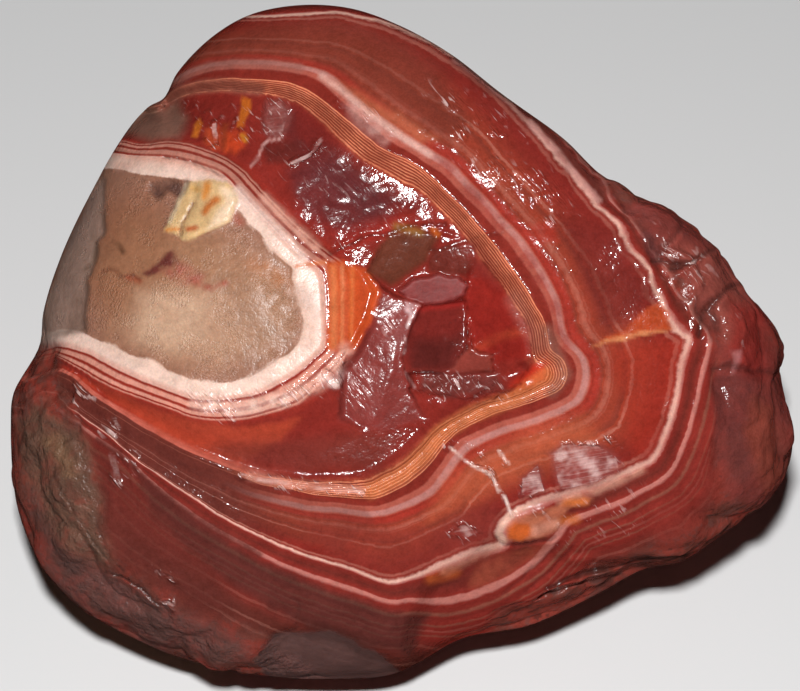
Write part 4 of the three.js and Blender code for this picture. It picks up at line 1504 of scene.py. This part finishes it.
@dataclass
class NodeSketch:
    """A material's nodes, added one by one."""

    material: bpy.types.Material

    def __post_init__(self) -> None:
        """Clears the tree down to an output and a Principled shader."""
        self.material.use_nodes = True
        self.tree = self.material.node_tree
        self.tree.nodes.clear()
        self.shader = self.add("BsdfPrincipled")
        self.add("OutputMaterial", Surface=self.shader.outputs["BSDF"])

    def join(self, source: object, target: Socket) -> None:
        """Links a socket to another, or sets a plain value on it.

        Args:
            source: a socket, a number or a colour.
            target: the input to feed.
        """
        if isinstance(source, Socket):
            self.tree.links.new(source, target)
        elif isinstance(source, tuple) and target.type == "RGBA":
            target.default_value = (*source, 1.0)
        else:
            target.default_value = source

    def feed(self, node: bpy.types.Node, **feeds: object) -> None:
        """Feeds a node's inputs.

        Args:
            node: the node.
            feeds: sockets or values by the inputs' names, with underscores for spaces.
        """
        for name, source in feeds.items():
            self.join(source, node.inputs[name.replace("_", " ")])

    def add(self, kind: str, **feeds: object) -> bpy.types.Node:
        """Adds a node of a kind and feeds its inputs."""
        node = self.tree.nodes.new(f"ShaderNode{kind}")
        self.feed(node, **feeds)
        return node

    def stored(self, name: str) -> bpy.types.Node:
        """The node that reads a stored value of the mesh."""
        node = self.add("Attribute")
        node.attribute_name = name
        return node

    def attribute(self, name: str) -> Socket:
        """One stored number of the mesh."""
        return self.stored(name).outputs["Fac"]

    def math(self, operation: str, *values: object) -> Socket:
        """One Math node, or a chain of them for more than two values.

        Args:
            operation: name of the operation.
            values: its inputs in order.

        Returns:
            The result.
        """
        result, *others = values
        for value in others or [0.0]:
            node = self.add("Math")
            node.operation = operation
            self.join(result, node.inputs[0])
            self.join(value, node.inputs[1])
            result = node.outputs["Value"]
        return result

    def times(self, *values: object) -> Socket:
        """Product of values."""
        return self.math("MULTIPLY", *values)

    def plus(self, *values: object) -> Socket:
        """Sum of values."""
        return self.math("ADD", *values)

    def rest(self, mask: object) -> Socket:
        """What a mask leaves free."""
        return self.math("SUBTRACT", 1.0, mask)

    def noise(self, wavelength: float, detail: float, roughness: float = 0.5) -> Socket:
        """Noise in space.

        Args:
            wavelength: size of its lumps in millimetres.
            detail: octaves of finer noise.
            roughness: strength of the finer octaves.

        Returns:
            The noise, about 0.5 on the whole.
        """
        place = self.add("TexCoord").outputs["Object"]
        scale = 1 / (wavelength * MM)
        node = self.add("TexNoise", Vector=place, Scale=scale, Detail=detail, Roughness=roughness)
        return node.outputs["Fac"]

    def about_zero(self, wavelength: float, detail: float) -> Socket:
        """Noise in space, drawn down to about 0 on the whole."""
        return self.math("SUBTRACT", self.noise(wavelength, detail), 0.5)

    def line_noise(self, value: Socket, scale: float, detail: float) -> Socket:
        """Noise along one value, which gives uneven lines of that value.

        Args:
            value: the value the lines follow.
            scale: lines per unit of it.
            detail: octaves of finer lines.

        Returns:
            The noise, about 0.5 on the whole.
        """
        node = self.add("TexNoise", Scale=scale, Detail=detail)
        node.noise_dimensions = "1D"
        self.feed(node, W=value)
        return node.outputs["Fac"]

    def wrinkles(self, fold: Fold) -> Socket:
        """Drawn-out wrinkles with narrow crests.

        Args:
            fold: their sizes, turn and sway.

        Returns:
            Their height, about 0.5 on the whole.
        """
        turned = self.add("Mapping")
        turned.vector_type = "TEXTURE"
        turn = (0.0, 0.0, math.radians(fold.turn))
        self.feed(turned, Rotation=turn, Scale=fold.sizes, Vector=self.stored("face").outputs["Vector"])
        place = turned.outputs["Vector"]
        bend = self.add("TexNoise", Vector=place, Scale=fold.sway_scale, Detail=0.0)
        bent = self.add("VectorMath")
        bent.operation = "MULTIPLY_ADD"
        for source, target in zip((bend.outputs["Color"], (fold.sway,) * 3, place), bent.inputs):
            self.join(source, target)
        node = self.add("TexNoise", Vector=bent.outputs["Vector"], Scale=1.0, Detail=fold.detail)
        return node.outputs["Fac"]

    def ranged(self, value: object, low: float, high: float, to_low: float = 0.0, to_high: float = 1.0,
               smooth: bool = True) -> Socket:
        """Maps a range of a value to another range, held at its ends.

        Args:
            value: the value to map.
            low: start of its range.
            high: end of its range.
            to_low: result at the start.
            to_high: result at the end.
            smooth: whether the change eases in and out.

        Returns:
            The mapped value.
        """
        node = self.add("MapRange", Value=value, From_Min=low, From_Max=high, To_Min=to_low, To_Max=to_high)
        node.interpolation_type = "SMOOTHSTEP" if smooth else "LINEAR"
        return node.outputs["Result"]

    def window(self, value: object, low: float, high: float, edge: float) -> Socket:
        """1 where a value lies between two limits, with edges of a width."""
        above = self.ranged(value, low - edge, low + edge)
        return self.times(above, self.ranged(value, high - edge, high + edge, 1.0, 0.0))

    def ramp(self, value: object, stops: tuple[tuple[float, Colour], ...]) -> Socket:
        """Colours along a value.

        Args:
            value: the value the colours follow.
            stops: values and their colours, in rising order.

        Returns:
            The colour.
        """
        low, high = stops[0][0], stops[-1][0]
        node = self.add("ValToRGB", Fac=self.ranged(value, low, high, smooth=False))
        elements = node.color_ramp.elements
        for number, (place, colour) in enumerate(stops):
            share = (place - low) / (high - low)
            element = elements[number] if number < 2 else elements.new(share)
            element.position = share
            element.color = (*colour, 1.0)
        return node.outputs["Color"]

    def mix(self, share: object, first: object, second: object, blend: str = "MIX") -> Socket:
        """Mixes two colours.

        Args:
            share: how much of the second shows.
            first: the colour below.
            second: the colour on top.
            blend: name of the blend.

        Returns:
            The mixed colour.
        """
        node = self.add("Mix", Factor=share)
        node.data_type = "RGBA"
        node.blend_type = blend
        below, above = (socket for socket in node.inputs if socket.type == "RGBA")
        self.join(first, below)
        self.join(second, above)
        return next(socket for socket in node.outputs if socket.type == "RGBA")

    def shaded(self, colour: object, share: object) -> Socket:
        """A colour made lighter or darker by a share."""
        node = self.add("VectorMath")
        node.operation = "SCALE"
        self.feed(node, Vector=colour, Scale=share)
        return node.outputs["Vector"]


@dataclass
class Surface:
    """Values that the stone's colours, gloss and fine relief share, with sizes in millimetres."""

    nodes: NodeSketch
    cloud_size: float = 2.2
    fine_size: float = 0.5
    grain_size: float = 0.16
    bark_size: float = 0.8
    bark_roughness: float = 0.6
    band_drift: float = 0.06
    stripes: int = 7
    stripe_bands: Span = (3.0, 4.0)
    stripe_edge: float = 0.04
    line_scale: float = 7.0
    terrace_bands: Span = (6.1, 6.95)
    foot_bands: Span = (8.1, 12.0)
    foot_lines: float = 0.5
    line_edge: float = 0.05
    earth_drift: Span = (0.9, 0.8)
    foil_fold: Fold = Fold((1.3, 0.26, 1.0), -50.0)
    rib_fold: Fold = Fold((2.6, 0.16, 1.0), 10.0)
    struck_sheen_from: Span = (0.15, 0.5)
    patches: Span = (0.44, 0.58)

    def __post_init__(self) -> None:
        """Reads the stored values and adds the noises and the masks made of them."""
        nodes = self.nodes
        self.rind, self.glint = nodes.attribute("rind"), nodes.attribute("glint")
        self.stain = nodes.stored("stain").outputs
        self.stain_rough = nodes.attribute("stain_rough")
        self.cloud = nodes.noise(self.cloud_size, 2)
        self.coarse = nodes.math("SUBTRACT", self.cloud, 0.5)
        self.fine = nodes.about_zero(self.fine_size, 3)
        self.grain = nodes.about_zero(self.grain_size, 2)
        self.bark = nodes.noise(self.bark_size, 3, self.bark_roughness)
        self.band = nodes.plus(nodes.attribute("band"), nodes.times(self.fine, self.band_drift))
        wave = nodes.math("SINE", nodes.times(self.band, 2 * math.pi * self.stripes))
        striped = nodes.window(self.band, *self.stripe_bands, self.stripe_edge)
        loud = nodes.rest(nodes.attribute("quiet"))
        self.stripe = nodes.times(nodes.ranged(wave, -0.5, 0.8), striped, loud)
        self.lines = nodes.line_noise(self.band, self.line_scale, 2)
        foot = nodes.times(nodes.window(self.band, *self.foot_bands, self.line_edge), self.foot_lines)
        self.lined = nodes.plus(nodes.window(self.band, *self.terrace_bands, self.line_edge), foot)
        drifts = zip((self.fine, self.coarse), self.earth_drift)
        self.earth = nodes.plus(nodes.attribute("earth"), *(nodes.times(*drift) for drift in drifts))
        self.foil, self.ribs = nodes.wrinkles(self.foil_fold), nodes.wrinkles(self.rib_fold)
        # patches where the glint strength is above 1: ribbed relief and painted sheen
        self.struck_sheen = nodes.ranged(nodes.ranged(self.glint, 1.0, 2.0, smooth=False), *self.struck_sheen_from)
        patches = nodes.ranged(self.cloud, *self.patches)
        self.patchy = nodes.times(nodes.math("MINIMUM", self.glint, 1.0), patches, nodes.rest(self.struck_sheen))


@dataclass(frozen=True)
class AgateFinish:
    """Colours and gloss of the banded stone."""

    window: Colour = srgb(128, 82, 62)
    window_pale: Colour = srgb(148, 102, 82)
    white: Colour = srgb(226, 192, 176)
    white_pink: Colour = srgb(212, 160, 144)
    rose: Colour = srgb(206, 138, 120)
    line_red: Colour = srgb(140, 40, 28)
    line_dark: Colour = srgb(96, 40, 32)
    deep_red: Colour = srgb(126, 34, 26)
    stripe_gap: Colour = srgb(158, 66, 46)
    stripe: Colour = srgb(232, 142, 104)
    wine: Colour = srgb(124, 36, 26)
    lilac_edge: Colour = srgb(164, 80, 66)
    lilac: Colour = srgb(176, 114, 106)
    ember: Colour = srgb(152, 44, 32)
    terrace: Colour = srgb(142, 53, 35)
    terrace_red: Colour = srgb(126, 32, 24)
    outer_white: Colour = srgb(214, 164, 148)
    outer_pink: Colour = srgb(180, 108, 98)
    outer_gap: Colour = srgb(132, 38, 30)
    outer_dark: Colour = srgb(104, 34, 26)
    foot: Colour = srgb(92, 36, 28)
    dull_line: Colour = srgb(130, 68, 54)
    rind: Colour = srgb(104, 50, 40)
    rind_red: Colour = srgb(128, 48, 37)
    rind_grey: Colour = srgb(98, 62, 56)
    rind_tan: Colour = srgb(124, 88, 62)
    pore: Colour = srgb(44, 22, 18)
    quiet: Colour = srgb(96, 38, 30)
    quiet_red: Colour = srgb(140, 36, 24)
    quiet_line: Colour = srgb(190, 98, 82)
    # pale colour that the painted highlights and sheen mix towards
    glare: Colour = srgb(238, 206, 200)
    # thin grey veil over all colours: painted sheen
    sheen_veil: Colour = srgb(112, 98, 94)
    # near black painted along the cracks: painted shade
    shaded_crack: Colour = (0.012, 0.005, 0.004)
    stripe_shares: Span = (0.5, 0.9)
    thin_share: float = 0.35
    dark_line_share: float = 0.45
    pale_line_share: float = 0.3
    rind_share: float = 0.9
    bark_share: float = 0.6
    husk_share: float = 0.8
    shaded_crack_share: float = 0.9
    sheen_size: float = 1.2
    sheen_share: float = 0.4
    # share of the ribs in the painted sheen
    rib_sheen_share: float = 0.1
    # share of the painted highlights on nicks
    nick_glint_share: float = 0.6
    # share of the painted sheen veil
    sheen_veil_share: float = 0.05
    mottle_shares: Spot = (0.5, 0.5, 0.45)
    polish: float = 0.11
    rind_rough: float = 0.14
    window_rough: float = 0.2
    lilac_rough: float = 0.06
    uneven_rough: float = 0.1
    fine_height: float = 0.05
    grain_heights: Span = (0.02, 0.012)
    frost_height: float = 0.15
    foil_height: float = 0.3
    rib_height: float = 0.05
    stripe_height: float = 0.03
    line_height: float = 0.03
    coat_heights: Span = (0.14, 0.42)
    husk_height: float = 0.2
    ior: float = 1.54
    specular: float = 0.3
    depth_share: float = 0.15
    depth_colour: Colour = (1.0, 0.35, 0.2)
    depth: float = 0.0012

    def band_colour(self, nodes: NodeSketch, band: Socket) -> Socket:
        """Colours of the bands from the window to the foot.

        Args:
            nodes: the material's nodes.
            band: the band value.

        Returns:
            The colour.
        """
        inner = nodes.ramp(band, (
            (-1.0, self.window), (-0.35, self.window_pale), (-0.03, self.window_pale), (0.04, self.white),
            (0.6, self.white), (0.85, self.white_pink), (0.93, self.white_pink), (1.0, self.line_red),
            (1.06, self.line_red), (1.16, self.rose), (1.36, self.rose), (1.43, self.line_red),
            (1.52, self.line_red), (1.6, self.rose), (1.72, self.rose), (1.77, self.line_red),
            (1.82, self.line_red), (1.87, self.rose), (1.96, self.ember), (2.1, self.deep_red),
            (2.5, self.deep_red),
        ))
        middle = nodes.ramp(band, (
            (2.0, self.deep_red), (2.95, self.deep_red), (3.0, self.stripe_gap), (4.0, self.stripe_gap),
            (4.06, self.stripe), (4.12, self.wine), (4.8, self.wine), (4.95, self.lilac_edge),
            (5.25, self.lilac_edge), (5.4, self.lilac), (5.7, self.lilac), (5.85, self.lilac_edge),
            (5.93, self.ember), (6.0, self.line_red),
        ))
        outer = nodes.ramp(band, (
            (6.0, self.line_red), (6.03, self.ember), (6.08, self.ember), (6.12, self.terrace),
            (6.45, self.terrace), (6.8, self.terrace_red), (6.96, self.terrace_red),
            (6.99, self.outer_white), (7.03, self.outer_white), (7.08, self.outer_pink),
            (7.14, self.outer_gap), (7.5, self.outer_dark), (7.84, self.outer_gap), (7.9, self.outer_pink),
            (8.01, self.outer_pink), (8.07, self.outer_gap), (8.22, self.outer_gap), (8.26, self.dull_line),
            (8.3, self.dull_line), (8.34, self.outer_gap), (8.5, self.outer_gap), (8.53, self.dull_line),
            (8.57, self.outer_gap), (8.76, self.outer_gap), (8.79, self.dull_line), (8.82, self.outer_gap),
            (9.3, self.foot), (10.0, self.foot),
        ))
        colour = nodes.mix(nodes.ranged(band, 2.2, 2.3), inner, middle)
        colour = nodes.mix(nodes.ranged(band, 5.995, 6.005), colour, outer)
        plain = nodes.ramp(band, (
            (2.0, self.deep_red), (2.8, self.quiet_red), (2.93, self.quiet_line), (3.25, self.quiet_line),
            (3.4, self.quiet), (3.95, self.quiet), (4.05, self.dull_line), (4.2, self.quiet),
            (7.0, self.quiet),
        ))
        calm = nodes.times(nodes.attribute("quiet"), nodes.window(band, 2.4, 6.93, 0.04))
        return nodes.mix(calm, colour, plain)

    def lined(self, surface: Surface, colour: Socket) -> Socket:
        """Pinstripes, darker thin lines and growth lines over the bands' colours.

        Args:
            surface: the shared values.
            colour: the bands' colours.

        Returns:
            The colour with the lines.
        """
        nodes, band = surface.nodes, surface.band
        faint = nodes.ranged(surface.cloud, 0.4, 0.6, *self.stripe_shares)
        colour = nodes.mix(nodes.times(surface.stripe, faint), colour, self.stripe)
        thin = nodes.times(nodes.window(band, 1.05, 1.98, 0.02), nodes.rest(nodes.attribute("lower")))
        colour = nodes.mix(nodes.times(thin, self.thin_share), colour, self.line_dark)
        dark = nodes.times(nodes.ranged(surface.lines, 0.52, 0.66), surface.lined, self.dark_line_share)
        pale = nodes.times(nodes.ranged(surface.lines, 0.44, 0.3), surface.lined, self.pale_line_share)
        return nodes.mix(pale, nodes.mix(dark, colour, self.line_dark), self.rose)

    def skin(self, surface: Surface) -> Socket:
        """Colours of the rind: red and grey bark, tan husk and dark pores.

        Args:
            surface: the shared values.

        Returns:
            The colour.
        """
        nodes = surface.nodes
        skin = nodes.mix(nodes.ranged(surface.coarse, -0.07, 0.07), self.rind, self.rind_red)
        skin = nodes.mix(nodes.ranged(surface.bark, 0.5, 0.64, 0.0, self.bark_share), skin, self.rind_grey)
        skin = nodes.mix(nodes.ranged(surface.earth, 0.3, 0.55, 0.0, self.husk_share), skin, self.rind_tan)
        return nodes.mix(nodes.ranged(surface.bark, 0.4, 0.3, 0.0, self.bark_share), skin, self.pore)

    def overlaid(self, surface: Surface, colour: Socket) -> Socket:
        """Stains, painted shade in cracks, painted sheen on struck patches, painted highlights on nicks, a
        painted sheen veil and mottling over a colour.

        Args:
            surface: the shared values.
            colour: the colour below.

        Returns:
            The colour with all of them.
        """
        nodes = surface.nodes
        kept = nodes.mix(surface.stain["Alpha"], colour, (0.0, 0.0, 0.0))
        colour = nodes.mix(1.0, kept, surface.stain["Color"], "ADD")
        # painted shade: near black along the cracks
        colour = nodes.mix(nodes.times(nodes.attribute("shaded_crack"), self.shaded_crack_share), colour, self.shaded_crack)
        # painted sheen: pale blotches and ribs over the struck patches
        sheen = nodes.times(nodes.ranged(nodes.noise(self.sheen_size, 2), 0.4, 0.68), self.sheen_share)
        sheen = nodes.plus(sheen, nodes.times(nodes.ranged(surface.ribs, 0.48, 0.62), self.rib_sheen_share))
        colour = nodes.mix(nodes.times(sheen, surface.struck_sheen), colour, self.glare)
        # painted highlights: pale nicks on the foil's crests in the glint areas
        nick_glint = nodes.times(nodes.ranged(surface.foil, 0.6, 0.68), surface.patchy, self.nick_glint_share)
        # painted sheen: a thin grey veil over all colours, mixed in last
        colour = nodes.mix(self.sheen_veil_share, nodes.mix(nick_glint, colour, self.glare), self.sheen_veil)
        noises = zip((surface.coarse, surface.fine, surface.grain), self.mottle_shares)
        mottle = nodes.plus(*(nodes.times(*noise) for noise in noises))
        return nodes.shaded(colour, nodes.plus(1.0, mottle))

    def roughness(self, surface: Surface) -> Socket:
        """Roughness of the bare stone and of its stains.

        Args:
            surface: the shared values.

        Returns:
            The roughness.
        """
        nodes, band = surface.nodes, surface.band
        plain = nodes.plus(
            self.polish,
            nodes.times(surface.rind, self.rind_rough),
            nodes.ranged(band, 0.9, 1.1, self.window_rough, 0.0),
            nodes.times(nodes.window(band, 4.6, 6.1, 0.1), self.lilac_rough),
        )
        rough = nodes.times(plain, nodes.rest(surface.stain["Alpha"]))
        return nodes.plus(rough, surface.stain_rough, nodes.times(surface.fine, self.uneven_rough))

    def relief(self, surface: Surface) -> Socket:
        """Fine relief of grain, frost, foil, ribs, stripes, lines and husk.

        Args:
            surface: the shared values.

        Returns:
            The changed normal.
        """
        nodes, band, grain = surface.nodes, surface.band, surface.grain
        inner = nodes.ranged(band, -0.15, 0.05, 1.0, 0.0)
        frost = nodes.times(nodes.ranged(surface.cloud, 0.48, 0.6), inner)
        coat = nodes.ranged(surface.stain_rough, 0.15, 0.35, *self.coat_heights)
        coat = nodes.plus(coat, nodes.ranged(surface.earth, 0.2, 0.6, 0.0, self.husk_height))
        height = nodes.plus(
            nodes.times(surface.fine, self.fine_height),
            nodes.times(grain, nodes.ranged(band, -0.1, 0.3, *self.grain_heights)),
            nodes.times(grain, frost, self.frost_height),
            nodes.times(surface.foil, surface.patchy, self.foil_height),
            nodes.times(surface.ribs, surface.struck_sheen, self.rib_height),
            nodes.times(surface.stripe, self.stripe_height),
            nodes.times(surface.lines, surface.lined, self.line_height),
            nodes.times(nodes.math("SUBTRACT", surface.bark, 0.5), surface.rind, coat),
        )
        return nodes.add("Bump", Strength=1.0, Distance=MM, Height=height).outputs["Normal"]

    def dress(self, stone: bpy.types.Object) -> None:
        """Makes the material and gives it to the stone.

        Args:
            stone: the stone to dress.
        """
        material = bpy.data.materials.new("banded_agate")
        nodes = NodeSketch(material)
        surface = Surface(nodes)
        colour = self.lined(surface, self.band_colour(nodes, surface.band))
        colour = nodes.mix(nodes.times(surface.rind, self.rind_share), colour, self.skin(surface))
        nodes.feed(
            nodes.shader,
            Base_Color=self.overlaid(surface, colour),
            Roughness=self.roughness(surface),
            Normal=self.relief(surface),
            IOR=self.ior,
            Specular_IOR_Level=self.specular,
            Subsurface_Weight=self.depth_share,
            Subsurface_Radius=self.depth_colour,
            Subsurface_Scale=self.depth,
        )
        stone.data.materials.clear()
        stone.data.materials.append(material)


@dataclass(frozen=True)
class Studio:
    """Floor, light and camera, in metres."""

    sensor: float = 36.0
    camera_near: float = 0.01
    floor_side: float = 3.0
    floor_colour: Colour = srgb(226, 226, 226)
    floor_rough: float = 0.7
    key_power: float = 1.66
    key_size: float = 0.0166
    key_place: Spot = (-0.004, 0.047, 0.36)
    fill_power: float = 0.3
    fill_size: Span = (0.4, 0.2)
    fill_place: Spot = (0.05, 0.4, 0.16)
    fill_spread: float = math.radians(70)
    sky: float = 0.004
    target: Spot = (0.0, 0.0, FACE.middle_height * MM)

    def floor(self) -> None:
        """Lays the plain pale floor."""
        bpy.ops.object.select_all(action="DESELECT")
        bpy.ops.mesh.primitive_plane_add(size=self.floor_side, location=(0, 0, 0))
        floor = bpy.context.object
        floor.name = "floor"
        material = bpy.data.materials.new("pale_floor")
        nodes = NodeSketch(material)
        nodes.feed(nodes.shader, Base_Color=self.floor_colour, Roughness=self.floor_rough)
        floor.data.materials.append(material)
        floor.visible_glossy = False

    def looking(self, place: Vector) -> Spot:
        """Turn of a lamp or camera that looks from a place to the stone's middle."""
        return tuple((Vector(self.target) - place).to_track_quat("-Z", "Y").to_euler())

    def camera(self) -> None:
        """Sets the camera at the photograph's viewing angle."""
        back = Vector((0, -math.cos(FACE.tilt), math.sin(FACE.tilt)))
        place = Vector(self.target) + back * (FACE.view_distance * MM)
        bpy.ops.object.camera_add(location=place, rotation=self.looking(place))
        camera = bpy.context.object
        camera.data.sensor_width = self.sensor
        camera.data.lens = self.sensor * FACE.view_distance * FACE.pixels_per_mm / FACE.image_width
        camera.data.clip_start = self.camera_near
        bpy.context.scene.camera = camera

    def lamp(self, place: Vector, power: float) -> bpy.types.Object:
        """Adds an area lamp that looks at the stone.

        Args:
            place: where it stands.
            power: its power in watts.

        Returns:
            The lamp.
        """
        bpy.ops.object.light_add(type="AREA", location=place, rotation=self.looking(place))
        lamp = bpy.context.object
        lamp.data.energy = power
        return lamp

    def light(self, stone: bpy.types.Object) -> None:
        """Sets the key lamp beside the camera, a soft one behind the stone and the soft light all round.

        Args:
            stone: the piece that the soft lamp lights.
        """
        place = FACE.in_part(np.array([self.key_place]) / MM)[0] * MM
        key = self.lamp(Vector(place), self.key_power)
        key.data.size = self.key_size
        fill = self.lamp(Vector(self.fill_place), self.fill_power)
        fill.data.shape = "RECTANGLE"
        fill.data.size, fill.data.size_y = self.fill_size
        fill.data.spread = self.fill_spread
        fill.visible_glossy = False
        fill.visible_camera = False
        lit = bpy.data.collections.new("lit_from_behind")
        lit.objects.link(stone)
        fill.light_linking.receiver_collection = lit
        world = bpy.data.worlds.new("soft_room")
        world.use_nodes = True
        background = world.node_tree.nodes["Background"]
        background.inputs["Color"].default_value = (1, 1, 1, 1)
        background.inputs["Strength"].default_value = self.sky
        world.cycles_visibility.glossy = False
        bpy.context.scene.world = world
        bpy.context.scene.view_settings.view_transform = "Standard"

    def build(self, stone: bpy.types.Object) -> None:
        """Builds the whole studio around the stone."""
        self.floor()
        self.camera()
        self.light(stone)


def main() -> None:
    """Builds the stone, dresses it and sets up the studio."""
    logging.basicConfig(level=logging.INFO, format="%(name)s: %(message)s")
    stone = AgateStone().build()
    AgateFinish().dress(stone)
    Studio().build(stone)


if __name__ == "__main__":
    main()
